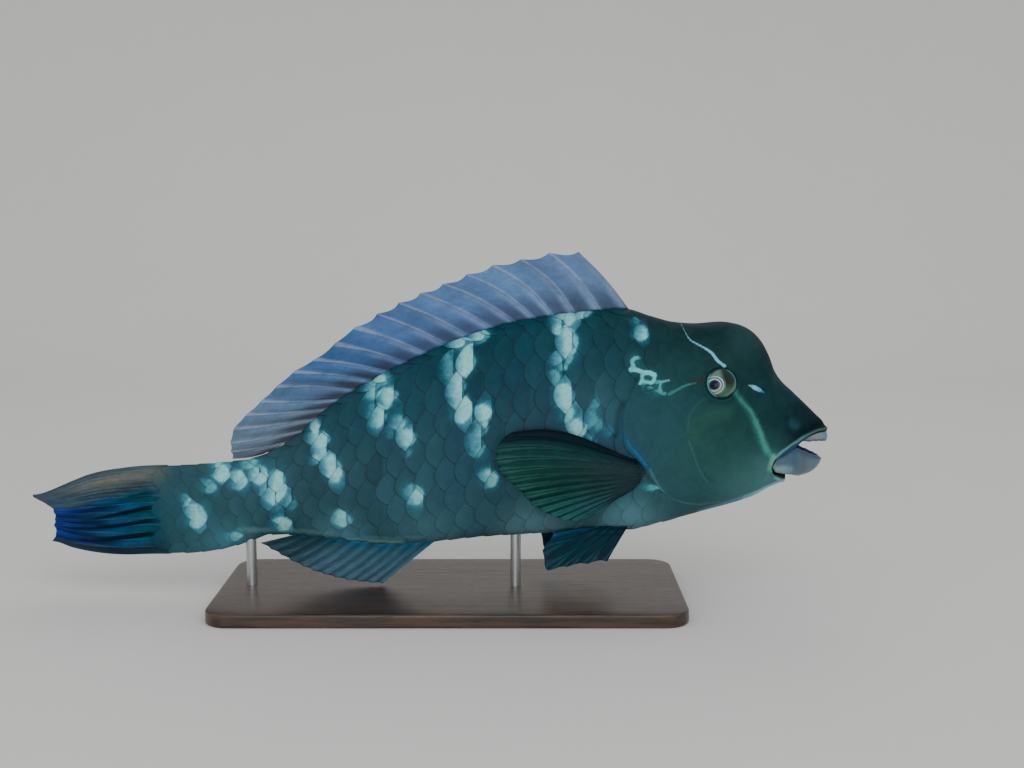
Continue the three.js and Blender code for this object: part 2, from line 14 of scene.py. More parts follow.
import bpy
import numpy as np
from bpy.types import Material, Node, NodeSocket, NodeTree, Object
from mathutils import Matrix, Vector


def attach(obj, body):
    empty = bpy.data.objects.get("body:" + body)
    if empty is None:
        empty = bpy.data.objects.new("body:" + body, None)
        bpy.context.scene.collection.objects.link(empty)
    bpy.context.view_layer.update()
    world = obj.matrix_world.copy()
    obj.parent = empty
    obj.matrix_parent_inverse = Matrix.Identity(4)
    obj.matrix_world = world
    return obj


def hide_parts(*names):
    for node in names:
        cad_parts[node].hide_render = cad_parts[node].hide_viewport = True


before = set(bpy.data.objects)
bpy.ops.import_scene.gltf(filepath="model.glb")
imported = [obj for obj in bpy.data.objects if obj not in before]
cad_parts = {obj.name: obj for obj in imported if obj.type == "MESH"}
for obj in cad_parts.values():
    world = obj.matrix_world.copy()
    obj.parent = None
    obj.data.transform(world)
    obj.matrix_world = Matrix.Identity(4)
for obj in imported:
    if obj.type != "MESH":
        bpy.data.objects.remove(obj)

MM = 0.001
SNOUT_X = 303.6
LENGTH = 607.2
STALK_END = 500
GAP = 0.3
COAT_DEPTH = 0.9
GILL_FLARE = 1.3

Array = np.ndarray
Pairs = tuple[tuple[float, float], ...]
Colour = tuple[float, float, float]
Place = tuple[float, float, float]
Stops = tuple[tuple[float, Colour], ...]

log = logging.getLogger("parrotfish")


class Side(Enum):
    """A side of the fish; the value is the sign of Y there."""

    RIGHT = -1
    LEFT = 1


def srgb(red: float, green: float, blue: float) -> Colour:
    """Turns a colour of 0 to 255, as seen, into linear light.

    Args:
        red: The red share.
        green: The green share.
        blue: The blue share.

    Returns:
        The three linear values.
    """
    seen = [value / 255 for value in (red, green, blue)]
    return tuple(v / 12.92 if v <= 0.04045 else ((v + 0.055) / 1.055) ** 2.4 for v in seen)


def smooth(low: float, high: float, value: Array) -> Array:
    """Rises smoothly from 0 at low to 1 at high."""
    share = np.clip((value - low) / (high - low), 0, 1)
    return share * share * (3 - 2 * share)


def bell(distance: Array, reach: float) -> Array:
    """Falls from 1 at no distance to nearly nothing at twice the reach."""
    return np.exp(-((distance / reach) ** 2))


def plateau(start: float, full: float, fading: float, end: float, value: Array) -> Array:
    """Rises smoothly from 0 to 1 and falls back to 0."""
    return smooth(start, full, value) * (1 - smooth(fading, end, value))


def toward(colours: Array, share: Array, wanted: Array | Colour) -> Array:
    """Moves colours towards another colour, by shares from 0 to 1."""
    return colours + share[..., None] * (np.array(wanted) - colours)


@dataclass(frozen=True)
class Profile:
    """A smooth curve through (position, value) points that never overshoots them."""

    points: Pairs

    def at(self, position: Array | float) -> Array:
        """Reads the curve.

        Args:
            position: Where along it, held between its ends.

        Returns:
            The values there.
        """
        where, value = np.array(self.points, float).T
        step = np.diff(where)
        rise = np.diff(value) / step
        before = 2 * step[1:] + step[:-1]
        after = step[1:] + 2 * step[:-1]
        slope = np.zeros_like(value)
        slope[0] = rise[0]
        slope[-1] = rise[-1]
        turning = rise[:-1] * rise[1:] <= 0
        first = np.where(turning, 1, rise[:-1])
        second = np.where(turning, 1, rise[1:])
        slope[1:-1] = np.where(turning, 0, (before + after) / (before / first + after / second))
        x = np.clip(position, where[0], where[-1])
        i = np.clip(np.searchsorted(where, x, side="right") - 1, 0, len(step) - 1)
        t = (x - where[i]) / step[i]
        leave = t * (1 - t) ** 2 * step[i] * slope[i]
        arrive = t * t * (t - 1) * step[i] * slope[i + 1]
        return value[i] + (value[i + 1] - value[i]) * t * t * (3 - 2 * t) + leave + arrive


class Section(NamedTuple):
    """One cross-section of the body, as heights, a half width and two roundnesses."""

    top: Array
    bottom: Array
    widest: Array
    width: Array
    upper: Array
    lower: Array


@dataclass(frozen=True)
class BodyForm:
    """The outer form of the flesh, from the same named values as the solids."""

    back: Profile = Profile(((0.4, 128), (3, 136), (10, 143.5), (28, 160.8), (37, 169.3), (42.5, 177.5),
        (47, 189), (53, 199.5), (62, 207.8), (72, 211.8), (83, 213.3), (103, 212), (118, 213), (135, 217.3),
        (155, 223), (191, 220), (237, 213), (271, 203), (337, 173), (374, 150.5), (400, 128), (419, 115.5),
        (439, 108), (480, 103.8), (510, 101.8)))
    belly: Profile = Profile(((0.4, 124), (3, 115), (4.6, 108.8), (6.5, 103.8), (10.4, 99.4), (15, 96.6),
        (22, 94.6), (32, 91.4), (44, 86.5), (57, 79.5), (93, 69), (129, 59.5), (152, 54.5), (179, 54.5),
        (209, 52.3), (263, 48.5), (301, 44.5), (333, 42.7), (361, 45), (400, 48.8), (422, 49), (433, 45.8),
        (449, 40), (468, 35.6), (487, 33.6), (510, 33.3)))
    half_width: Profile = Profile(((0.4, 2.5), (3, 7.5), (8, 11.5), (15, 14.5), (25, 18), (40, 24.5),
        (60, 32), (80, 37.5), (100, 41), (125, 43.5), (150, 44.2), (200, 43), (240, 41), (280, 38),
        (320, 33.5), (350, 29), (380, 23.5), (410, 18), (450, 12), (480, 8.5), (510, 6)))
    widest: Profile = Profile(((0, 0.5), (60, 0.45), (90, 0.42), (150, 0.43), (300, 0.46), (450, 0.5),
        (510, 0.5)))
    back_roundness: Profile = Profile(((0, 2.2), (60, 2.3), (90, 2.2), (150, 1.85), (300, 1.75), (450, 1.9),
        (510, 2)))
    belly_roundness: Profile = Profile(((0, 2.1), (60, 2.2), (150, 2.3), (300, 2.2), (450, 2), (510, 2)))
    sway_most: float = 12
    sway_start: float = 300
    step: float = 0.4
    step_round: float = 0.0015

    def sway(self, station: Array | float) -> Array:
        """How far the tail's swing has moved a station to the left."""
        share = np.maximum(0, (np.asarray(station, float) - self.sway_start) / (LENGTH - self.sway_start))
        return self.sway_most * share * share

    def section(self, station: Array | float) -> Section:
        """Cuts the body.

        Args:
            station: Distances behind the snout.

        Returns:
            The cross-sections there.
        """
        top = self.back.at(station)
        bottom = self.belly.at(station)
        widest = bottom + (top - bottom) * self.widest.at(station)
        upper = self.back_roundness.at(station)
        lower = self.belly_roundness.at(station)
        return Section(top, bottom, widest, self.half_width.at(station), upper, lower)

    def quarter(self, station: Array | float, height: Array | float) -> tuple[Section, Array, Array, Array]:
        """Finds where heights lie in their cross-sections.

        Args:
            station: Distances behind the snout.
            height: The heights.

        Returns:
            The sections, whether each height is above the widest place, its share of the way from there
            to the edge, and the roundness of that quarter.
        """
        cut = self.section(station)
        above = np.asarray(height) > cut.widest
        span = np.where(above, cut.top - cut.widest, cut.widest - cut.bottom)
        share = np.minimum(1, np.abs(height - cut.widest) / span)
        return cut, above, share, np.where(above, cut.upper, cut.lower)

    def flank(self, station: Array | float, height: Array | float) -> Array:
        """Half the body's width at a station and height."""
        cut, _, share, power = self.quarter(station, height)
        return cut.width * (1 - share**power) ** (1 / power)

    def turn(self, station: Array | float, height: Array | float) -> Array:
        """The turn, on the left side, at which a station's section has a height."""
        _, above, share, power = self.quarter(station, height)
        return np.arccos(np.where(above, 1, -1) * share ** (power / 2)) / (2 * math.pi)

    def facing(self, station: float, height: float, side: Side, step: float = 2) -> Array:
        """Finds the direction square to the flank.

        Args:
            station: The place's distance behind the snout.
            height: Its height.
            side: The side of the fish.
            step: How far off to each side the slope is measured.

        Returns:
            The outward direction.
        """
        along = float(self.flank(station + step, height) - self.flank(station - step, height)) / (2 * step)
        up = float(self.flank(station, height + step) - self.flank(station, height - step)) / (2 * step)
        way = np.array([along, side.value, -up])
        return way / np.linalg.norm(way)

    def surface(self, station: Array, turn: Array) -> Array:
        """Points of the outer form.

        Args:
            station: Distances behind the snout.
            turn: Turns round the body, of the same shape.

        Returns:
            Points in millimetres, with x, y and z last.
        """
        cut = self.section(station)
        sine = np.sin(turn * 2 * math.pi)
        cosine = np.cos(turn * 2 * math.pi)
        power = np.where(cosine > 0, cut.upper, cut.lower)
        depth = np.where(cosine > 0, cut.top, cut.bottom) - cut.widest
        side = np.sign(sine) * cut.width * np.abs(sine) ** (2 / power)
        height = cut.widest + depth * np.abs(cosine) ** (2 / power)
        return np.stack([SNOUT_X - station, side + self.sway(station), height], axis=-1)

    def normal(self, station: Array, turn: Array) -> Array:
        """Finds the outward directions of the outer form.

        Args:
            station: Distances behind the snout.
            turn: Turns round the body, of the same shape.

        Returns:
            Directions, with x, y and z last.
        """
        ahead = self.surface(station + self.step, turn) - self.surface(station - self.step, turn)
        past = self.surface(station, turn + self.step_round)
        short = self.surface(station, turn - self.step_round)
        out = np.cross(past - short, ahead)
        return out / np.maximum(1e-9, np.linalg.norm(out, axis=-1, keepdims=True))

    def raised(self, station: Array, turn: Array, lift: Array | float) -> Array:
        """Points that stand a lift above the outer form."""
        lift = np.broadcast_to(lift, np.shape(station))
        return self.surface(station, turn) + self.normal(station, turn) * lift[..., None]


BODY = BodyForm()


@dataclass
class Girth:
    """Arc lengths round the body's right or left half, from the back's ridge to the keel of the belly."""

    body: BodyForm
    first: float = 60.0
    last: float = 521.0
    spacing: float = 2.0
    shares: int = 200
    fineness: int = 401

    def __post_init__(self) -> None:
        """Measures the body's cross-sections once."""
        self.stations = np.arange(self.first, self.last, self.spacing)
        fine = np.linspace(0, 0.5, self.fineness)
        self.turns = np.empty((len(self.stations), self.shares + 1))
        self.half = np.empty(len(self.stations))
        for row, station in enumerate(self.stations):
            line = self.body.surface(np.full_like(fine, station), fine)
            arc = np.concatenate([[0], np.cumsum(np.linalg.norm(np.diff(line, axis=0), axis=1))])
            self.half[row] = arc[-1]
            self.turns[row] = np.interp(np.linspace(0, arc[-1], self.shares + 1), arc, fine)

    def half_girth(self, station: Array) -> Array:
        """The length of half a cross-section."""
        return np.interp(station, self.stations, self.half)

    def turn(self, station: Array, arc: Array) -> Array:
        """The turn at an arc length from the ridge of the back; a negative arc lies past the ridge.

        Args:
            station: Distances behind the snout.
            arc: Arc lengths from the back, at most the half girth.

        Returns:
            Turns on the left side.
        """
        row = np.clip((station - self.first) / self.spacing, 0, len(self.stations) - 1.001)
        low = row.astype(int)
        along = row - low
        half = self.half_girth(station)
        folded = np.where(np.abs(arc) > half, 2 * half - np.abs(arc), np.abs(arc))
        share = np.clip(folded / half * self.shares, 0, self.shares - 0.001)
        left = share.astype(int)
        part = share - left
        near = self.turns[low, left] * (1 - part) + self.turns[low, left + 1] * part
        far = self.turns[low + 1, left] * (1 - part) + self.turns[low + 1, left + 1] * part
        turn = near * (1 - along) + far * along
        turn = np.where(np.abs(arc) > half, 1 - turn, turn)
        return np.where(arc < 0, -turn, turn)

    def arc(self, station: Array, height: Array) -> Array:
        """Measures down from the ridge of the back.

        Args:
            station: Distances behind the snout, in one row.
            height: Heights of the same count.

        Returns:
            Arc lengths at which the sections have the heights.
        """
        wanted = self.body.turn(station, height)
        row = np.clip(((station - self.first) / self.spacing).round().astype(int), 0, len(self.stations) - 1)
        shares = np.linspace(0, 1, self.shares + 1)
        found = [np.interp(turn, self.turns[i], shares) for turn, i in zip(wanted, row)]
        return np.array(found) * self.half_girth(station)


GIRTH = Girth(BODY)


@dataclass(frozen=True)
class Curve:
    """A smooth curve through points, read by a share of its length."""

    points: Pairs
    fineness: int = 60

    def at(self, share: Array | float) -> Array:
        """Reads the curve.

        Args:
            share: From 0 at its start to 1 at its end.

        Returns:
            Points, with station and height last.
        """
        known = np.array(self.points, float)
        padded = np.vstack([2 * known[0] - known[1], known, 2 * known[-1] - known[-2]])
        t = np.linspace(0, 1, self.fineness, endpoint=False)[:, None]
        pieces = []
        for before, start, end, after in zip(padded, padded[1:], padded[2:], padded[3:]):
            gaps = [math.dist(a, b) ** 0.5 for a, b in ((before, start), (start, end), (end, after))]
            leave = (start - before) / gaps[0] - (end - before) / (gaps[0] + gaps[1])
            leave = leave + (end - start) / gaps[1]
            arrive = (end - start) / gaps[1] - (after - start) / (gaps[1] + gaps[2]) + (after - end) / gaps[2]
            leave = leave * gaps[1]
            arrive = arrive * gaps[1]
            bend = -3 * start + 3 * end - 2 * leave - arrive
            close = 2 * start - 2 * end + leave + arrive
            pieces.append(start + leave * t + bend * t * t + close * t**3)
        line = np.vstack([*pieces, known[-1:]])
        arc = np.concatenate([[0], np.cumsum(np.linalg.norm(np.diff(line, axis=0), axis=1))])
        wanted = np.clip(share, 0, 1) * arc[-1]
        return np.stack([np.interp(wanted, arc, line[:, 0]), np.interp(wanted, arc, line[:, 1])], axis=-1)


def distance_to(line: Pairs, station: Array, height: Array) -> tuple[Array, Array]:
    """Measures how far points lie from a bent line, in the side view.

    Args:
        line: The line's corners as (station, height).
        station: The points' stations.
        height: The points' heights.

    Returns:
        The distance, and the share of the line's length at the nearest place.
    """
    corners = np.array(line, float)
    lengths = np.linalg.norm(np.diff(corners, axis=0), axis=1)
    starts = np.concatenate([[0], np.cumsum(lengths)])
    nearest = np.full(np.shape(station), 1e9)
    share = np.zeros(np.shape(station))
    for (s0, h0), (s1, h1), length, start in zip(corners, corners[1:], lengths, starts):
        t = np.clip(((station - s0) * (s1 - s0) + (height - h0) * (h1 - h0)) / length**2, 0, 1)
        gap = np.hypot(station - s0 - t * (s1 - s0), height - h0 - t * (h1 - h0))
        closer = gap < nearest
        nearest = np.where(closer, gap, nearest)
        share = np.where(closer, (start + t * length) / starts[-1], share)
    return nearest, share


def smooth_object(name: str, points: Array, faces: Array, material: Material) -> Object:
    """Makes an object with smooth faces and puts it in the scene.

    Args:
        name: Its name.
        points: Its points in metres.
        faces: Its quads.
        material: Its finish.

    Returns:
        The new object.
    """
    mesh = bpy.data.meshes.new(name)
    mesh.from_pydata(points.tolist(), [], faces.tolist())
    mesh.polygons.foreach_set("use_smooth", [True] * len(mesh.polygons))
    mesh.materials.append(material)
    made = bpy.data.objects.new(name, mesh)
    bpy.context.scene.collection.objects.link(made)
    return made


@dataclass
class Shape:
    """Points in millimetres, faces and per-point values of a mesh that is being made."""

    points: Array
    faces: Array
    values: dict[str, Array] = field(default_factory=dict)
    corners: Array | None = None

    @staticmethod
    def joined(parts: list["Shape"]) -> "Shape":
        """Puts several shapes with the same values into one.

        Args:
            parts: The shapes, all of quads.

        Returns:
            One shape.
        """
        starts = np.cumsum([0] + [len(part.points) for part in parts])
        values = {name: np.concatenate([part.values[name] for part in parts]) for name in parts[0].values}
        corners = None
        if parts[0].corners is not None:
            corners = np.concatenate([part.corners for part in parts])
        faces = np.concatenate([part.faces + start for part, start in zip(parts, starts)])
        return Shape(np.concatenate([part.points for part in parts]), faces, values, corners)

    def piece(self, name: str, material: Material) -> Object:
        """Makes the Blender object, in metres, and rides it on the fish.

        Args:
            name: The object's name.
            material: Its finish.

        Returns:
            The new object.
        """
        made = smooth_object(name, self.points * MM, self.faces, material)
        for key, value in self.values.items():
            kind = "FLOAT_COLOR" if value.ndim == 2 else "FLOAT"
            layer = made.data.attributes.new(key, kind, "POINT")
            if value.ndim == 2:
                opaque = np.concatenate([value, np.ones((len(value), 1))], axis=1)
                layer.data.foreach_set("color", opaque.ravel().astype(np.float32))
            else:
                layer.data.foreach_set("value", value.astype(np.float32))
        if self.corners is not None:
            layer = made.data.uv_layers.new(name="OFBake")
            layer.data.foreach_set("uv", self.corners.ravel().astype(np.float32))
        made.data.update()
        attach(made, "root")
        log.info("%s: %d faces", name, len(self.faces))
        return made


def grid_faces(rows: int, columns: int, closed: bool = False) -> Array:
    """Quads of a grid of points that is stored row by row.

    Args:
        rows: How many rows of points there are.
        columns: How many points a row has.
        closed: Whether the last column joins the first.

    Returns:
        The quads' corner numbers.
    """
    last = columns if closed else columns - 1
    row, column = np.meshgrid(np.arange(rows - 1), np.arange(last), indexing="ij")
    beside = (column + 1) % columns
    near = [row * columns + column, row * columns + beside]
    far = [(row + 1) * columns + beside, (row + 1) * columns + column]
    return np.stack([*near, *far], axis=-1).reshape(-1, 4)


def grid_corners(across: Array, along: Array) -> Array:
    """Places the corners of a grid's quads on the unwrap.

    Args:
        across: The place of each column's edge.
        along: The place of each row.

    Returns:
        Four corners for each quad.
    """
    row, column = np.meshgrid(np.arange(len(along) - 1), np.arange(len(across) - 1), indexing="ij")
    places = [(row, column), (row, column + 1), (row + 1, column + 1), (row + 1, column)]
    return np.stack([np.stack([along[r], across[c]], axis=-1) for r, c in places], axis=2).reshape(-1, 4, 2)


def rim_of(index: Array) -> Array:
    """The numbers round the edge of a grid of point numbers, in order."""
    return np.concatenate([index[0], index[1:, -1], index[-1, -2::-1], index[-2:0:-1, 0]])


def point_rows(values: dict[str, Array]) -> dict[str, Array]:
    """Turns grids of numbers and of colours into one row for each point."""
    return {key: value.reshape(-1, 3) if value.ndim == 3 else value.ravel() for key, value in values.items()}


def two_faced(near: Array, far: Array, values: dict[str, Array]) -> Shape:
    """Closes two matching grids of points into one sheet with a rim.

    Args:
        near: One face's points, rows by columns by three.
        far: The other face's points, of the same shape.
        values: Values for each grid place, rows by columns.

    Returns:
        The closed sheet.
    """
    rows, columns = near.shape[:2]
    count = rows * columns
    face = grid_faces(rows, columns)
    rim = rim_of(np.arange(count).reshape(rows, columns))
    onward = np.roll(rim, -1)
    wall = np.stack([onward, rim, rim + count, onward + count], axis=1)
    faces = np.concatenate([face, face[:, ::-1] + count, wall])
    points = np.concatenate([near.reshape(-1, 3), far.reshape(-1, 3)])
    doubled = {key: np.concatenate([value, value]) for key, value in point_rows(values).items()}
    return Shape(points, faces, doubled)


class Graph:
    """A short way to add and join shader nodes."""

    def __init__(self, tree: NodeTree) -> None:
        """Starts on a material's or a group's tree."""
        self.tree = tree

    def feed(self, socket: NodeSocket, value: Any) -> None:
        """Links a socket to an input, or sets the input to a plain value.

        Args:
            socket: The input.
            value: The socket or value that it gets; a colour may be given without its fourth number.
        """
        if isinstance(value, NodeSocket):
            self.tree.links.new(value, socket)
        elif isinstance(value, tuple) and len(value) == 3 and socket.type == "RGBA":
            socket.default_value = (*value, 1)
        else:
            socket.default_value = value

    def node(self, kind: str, inputs: dict[Any, Any] | None = None, **settings: Any) -> Node:
        """Adds a node.

        Args:
            kind: The node's type, without its common start.
            inputs: What each named or numbered input gets.
            settings: The node's own properties.

        Returns:
            The node.
        """
        added = self.tree.nodes.new("ShaderNode" + kind)
        for key, value in settings.items():
            setattr(added, key, value)
        for key, value in (inputs or {}).items():
            self.feed(added.inputs[key], value)
        return added

    def math(self, operation: str, first: Any, second: Any = 0.0, third: Any = 0.0) -> NodeSocket:
        """Adds a Math node and gives its result."""
        return self.node("Math", {0: first, 1: second, 2: third}, operation=operation).outputs[0]

    def times(self, first: Any, second: Any) -> NodeSocket:
        """Multiplies two values."""
        return self.math("MULTIPLY", first, second)

    def plus(self, first: Any, second: Any) -> NodeSocket:
        """Adds two values."""
        return self.math("ADD", first, second)

    def minus(self, first: Any, second: Any) -> NodeSocket:
        """Takes the second value from the first."""
        return self.math("SUBTRACT", first, second)

    def scaled(self, value: Any, factor: Any, offset: Any) -> NodeSocket:
        """Multiplies a value by a factor and adds an offset."""
        return self.math("MULTIPLY_ADD", value, factor, offset)

    def mix(self, share: Any, first: Any, second: Any, blend: str = "MIX") -> NodeSocket:
        """Adds a colour mix and gives its result."""
        added = self.node("Mix", {0: share, 6: first, 7: second}, data_type="RGBA", blend_type=blend)
        return added.outputs[2]

    def rise(self, value: Any, low: float, high: float, start: float = 0.0, end: float = 1.0) -> NodeSocket:
        """Maps a value smoothly from one range to another."""
        inputs = {"Value": value, "From Min": low, "From Max": high, "To Min": start, "To Max": end}
        return self.node("MapRange", inputs, interpolation_type="SMOOTHSTEP").outputs[0]

    def noise(self, place: Any, scale: Any, detail: float = 2.0, roughness: float = 0.5) -> NodeSocket:
        """Adds a noise texture and gives its value."""
        inputs = {"Vector": place, "Scale": scale, "Detail": detail, "Roughness": roughness}
        return self.node("TexNoise", inputs).outputs[0]

    def read(self, name: str, colour: bool = False) -> NodeSocket:
        """Reads a value that the mesh carries."""
        return self.node("Attribute", attribute_name=name).outputs["Color" if colour else "Fac"]


@dataclass(frozen=True)
class Socket:
    """A named input or output of a shader group."""

    name: str
    kind: str = "Float"
    default: Any = 0.0


class ShaderGroup:
    """An effect that several finishes share, as a node group with named sockets."""

    def __init__(self, name: str, inputs: tuple[Socket, ...], outputs: tuple[Socket, ...]) -> None:
        """Makes the empty group.

        Args:
            name: The group's name.
            inputs: What it takes.
            outputs: What it gives.
        """
        self.tree = bpy.data.node_groups.new(name, "ShaderNodeTree")
        face = self.tree.interface
        for socket in inputs:
            made = face.new_socket(socket.name, in_out="INPUT", socket_type="NodeSocket" + socket.kind)
            made.default_value = (*socket.default, 1) if socket.kind == "Color" else socket.default
        for socket in outputs:
            face.new_socket(socket.name, in_out="OUTPUT", socket_type="NodeSocket" + socket.kind)
        self.graph = Graph(self.tree)
        self.inputs = self.tree.nodes.new("NodeGroupInput").outputs
        self.outputs = self.tree.nodes.new("NodeGroupOutput").inputs

    def use(self, graph: Graph, inputs: dict[str, Any]) -> bpy.types.bpy_prop_collection:
        """Places the group in a finish.

        Args:
            graph: The finish's graph.
            inputs: What the group's inputs get.

        Returns:
            The placed group's outputs.
        """
        placed = graph.node("Group", node_tree=self.tree)
        for key, value in inputs.items():
            graph.feed(placed.inputs[key], value)
        return placed.outputs


def make_mottle() -> ShaderGroup:
    """Builds the soft unevenness of colour that every grown surface has.

    Returns:
        A group from Color, Scale and Strength to Color and Value.
    """
    group = ShaderGroup(
        "Soft Mottle",
        (
            Socket("Color", "Color", (0.5, 0.5, 0.5)),
            Socket("Scale", default=200.0),
            Socket("Strength", default=0.2),
        ),
        (Socket("Color", "Color"), Socket("Value")),
    )
    graph = group.graph
    place = graph.node("TexCoord").outputs["Object"]
    broad = graph.noise(place, group.inputs["Scale"], 3.0, 0.6)
    fine = graph.noise(place, graph.times(group.inputs["Scale"], 6.0), 3.0, 0.6)
    both = graph.scaled(fine, 0.45, graph.times(broad, 0.55))
    swing = graph.times(graph.minus(both, 0.5), group.inputs["Strength"])
    level = graph.plus(graph.times(swing, 4.0), 1.0)
    shade = graph.node("CombineColor", {0: level, 1: level, 2: level}).outputs[0]
    graph.feed(group.outputs["Color"], graph.mix(1.0, group.inputs["Color"], shade, "MULTIPLY"))
    graph.feed(group.outputs["Value"], both)
    return group


def make_fish_skin(mottle: ShaderGroup) -> ShaderGroup:
    """Builds the painted skin that the body, the scales and the nostrils share.

    Args:
        mottle: The soft unevenness.

    Returns:
        A group from Tone, Pale, Line, Line Color, Line Strength, Outline, Outline Color, Relief and Marbling
        to Color, Roughness and Height. Line is how far outside a painted line a place is, in widths of the
        line's soft edge.
    """
    group = ShaderGroup(
        "Fish Skin",
        (
            Socket("Tone", "Color", (0.05, 0.1, 0.12)),
            Socket("Pale", default=0.0),
            Socket("Line", default=4.0),
            Socket("Line Color", "Color", srgb(110, 196, 200)),
            Socket("Line Strength", default=0.0),
            Socket("Outline", default=0.0),
            Socket("Outline Color", "Color", srgb(30, 30, 26)),
            Socket("Relief", default=0.2),
            Socket("Marbling", default=0.1),
        ),
        (Socket("Color", "Color"), Socket("Roughness"), Socket("Height")),
    )
    graph = group.graph
    place = graph.node("TexCoord").outputs["Object"]
    dotted = mottle.use(graph, {"Color": group.inputs["Tone"], "Scale": 90.0, "Strength": 0.16})
    specks = graph.rise(graph.noise(place, 2600.0, 1.0), 0.58, 0.74)
    waves = graph.math("SINE", graph.times(graph.noise(place, 40.0, 2.5, 0.55), 34.0))
    veins = graph.times(graph.rise(waves, -0.6, 1.0), group.inputs["Marbling"])
    marbled = graph.mix(veins, dotted["Color"], srgb(76, 124, 134))
    peppered = graph.mix(graph.times(specks, 0.25), marbled, srgb(12, 34, 42))
    cloud = graph.noise(place, 330.0, 4.0, 0.62)
    swing = graph.minus(cloud, 0.5)
    drift = graph.times(graph.plus(group.inputs["Pale"], 0.25), 0.75)
    ragged = graph.scaled(swing, drift, group.inputs["Pale"])
    halo = graph.times(graph.rise(ragged, 0.05, 0.55), 0.68)
    lit = graph.mix(halo, peppered, srgb(48, 112, 132))
    lit = graph.mix(graph.times(graph.rise(ragged, 0.3, 1.0), 0.92), lit, srgb(88, 162, 174))
    lit = graph.mix(graph.times(graph.rise(ragged, 0.72, 1.5), 1.0), lit, srgb(144, 208, 208))
    jitter = graph.minus(graph.noise(place, 700.0, 2.0), 0.5)
    wobble = graph.scaled(jitter, 2.0, group.inputs["Line"])
    inside = graph.times(graph.rise(wobble, -1.0, 1.0, 1.0, 0.0), group.inputs["Line Strength"])
    core = graph.times(graph.rise(wobble, -4.0, -1.2, 1.0, 0.0), graph.rise(cloud, 0.4, 0.65, 0.0, 0.4))
    paint = graph.mix(core, group.inputs["Line Color"], srgb(168, 216, 216))
    painted = graph.mix(inside, lit, paint)
    ink = graph.times(group.inputs["Outline"], graph.rise(cloud, 0.3, 0.6, 0.35, 1.0))
    graph.feed(group.outputs["Color"], graph.mix(ink, painted, group.inputs["Outline Color"]))
    graph.feed(group.outputs["Roughness"], graph.scaled(dotted["Value"], 0.2, 0.42))
    grain = graph.plus(graph.times(specks, -0.25), dotted["Value"])
    graph.feed(group.outputs["Height"], graph.times(grain, group.inputs["Relief"]))
    return group


def make_fin_web(mottle: ShaderGroup) -> ShaderGroup:
    """Builds the rayed web that all the fins share.

    Args:
        mottle: The soft unevenness.

    Returns:
        A group from Tone, Ray Color, Fold Color and Streak to Color, Roughness and Height. The strengths of
        ray and fold are read from the mesh.
    """
    group = ShaderGroup(
        "Fin Web",
        (
            Socket("Tone", "Color", (0.1, 0.2, 0.3)),
            Socket("Ray Color", "Color", (0.4, 0.5, 0.6)),
            Socket("Fold Color", "Color", (0.02, 0.02, 0.03)),
            Socket("Streak", default=0.4),
        ),
        (Socket("Color", "Color"), Socket("Roughness"), Socket("Height")),
    )
    graph = group.graph
    across = graph.read("across")
    outward = graph.read("outward")
    place = graph.node("CombineXYZ", {0: graph.times(across, 1.0), 1: graph.times(outward, 0.06)})
    streak = graph.noise(place.outputs[0], 1.3, 4.0, 0.7)
    hair = graph.noise(place.outputs[0], 4.5, 2.0, 0.6)
    dotted = mottle.use(graph, {"Color": group.inputs["Tone"], "Scale": 90.0, "Strength": 0.14})
    swing = graph.minus(graph.scaled(hair, 0.4, graph.times(streak, 0.6)), 0.5)
    level = graph.scaled(graph.times(swing, group.inputs["Streak"]), 4.0, 1.0)
    shade = graph.node("CombineColor", {0: level, 1: level, 2: level}).outputs[0]
    streaked = graph.mix(1.0, dotted["Color"], shade, "MULTIPLY")
    broken = graph.times(graph.read("ray"), graph.rise(streak, 0.3, 0.6, 0.35, 0.9))
    lit = graph.mix(broken, streaked, group.inputs["Ray Color"])
    graph.feed(group.outputs["Color"], graph.mix(graph.read("fold"), lit, group.inputs["Fold Color"]))
    graph.feed(group.outputs["Roughness"], graph.scaled(hair, 0.25, 0.3))
    graph.feed(group.outputs["Height"], graph.scaled(streak, 0.5, graph.times(hair, 0.5)))
    return group


class Paint(NamedTuple):
    """What a finish feeds its shader with."""

    colour: Any
    roughness: Any
    height: Any = None


@dataclass(frozen=True)
class Finish:
    """A finish whose colour, roughness and relief come from a node graph."""

    name: str
    slot: str
    bump: float = 0.3
    bump_depth: float = 0.0004
    coat: float = 0.0
    coat_roughness: float = 0.1
    specular: float = 0.5
    metallic: float = 0.0

    def build(self, group: ShaderGroup) -> Material:
        """Makes the material.

        Args:
            group: The shared effect that the finish uses.

        Returns:
            The material.
        """
        material = bpy.data.materials.new(self.name)
        material.use_nodes = True
        material.node_tree.nodes.clear()
        graph = Graph(material.node_tree)
        shader = graph.node("BsdfPrincipled")
        shader.inputs["Coat Weight"].default_value = self.coat
        shader.inputs["Coat Roughness"].default_value = self.coat_roughness
        shader.inputs["Specular IOR Level"].default_value = self.specular
        shader.inputs["Metallic"].default_value = self.metallic
        result = graph.node("OutputMaterial")
        graph.feed(result.inputs["Surface"], shader.outputs[0])
        paint = self.paint(graph, group)
        graph.feed(shader.inputs["Base Color"], paint.colour)
        graph.feed(shader.inputs["Roughness"], paint.roughness)
        if paint.height is not None:
            inputs = {"Strength": self.bump, "Distance": self.bump_depth, "Height": paint.height}
            graph.feed(shader.inputs["Normal"], graph.node("Bump", inputs).outputs[0])
        return material

    def paint(self, graph: Graph, group: ShaderGroup) -> Paint:
        """Adds the nodes that the shader is fed from."""
        raise NotImplementedError


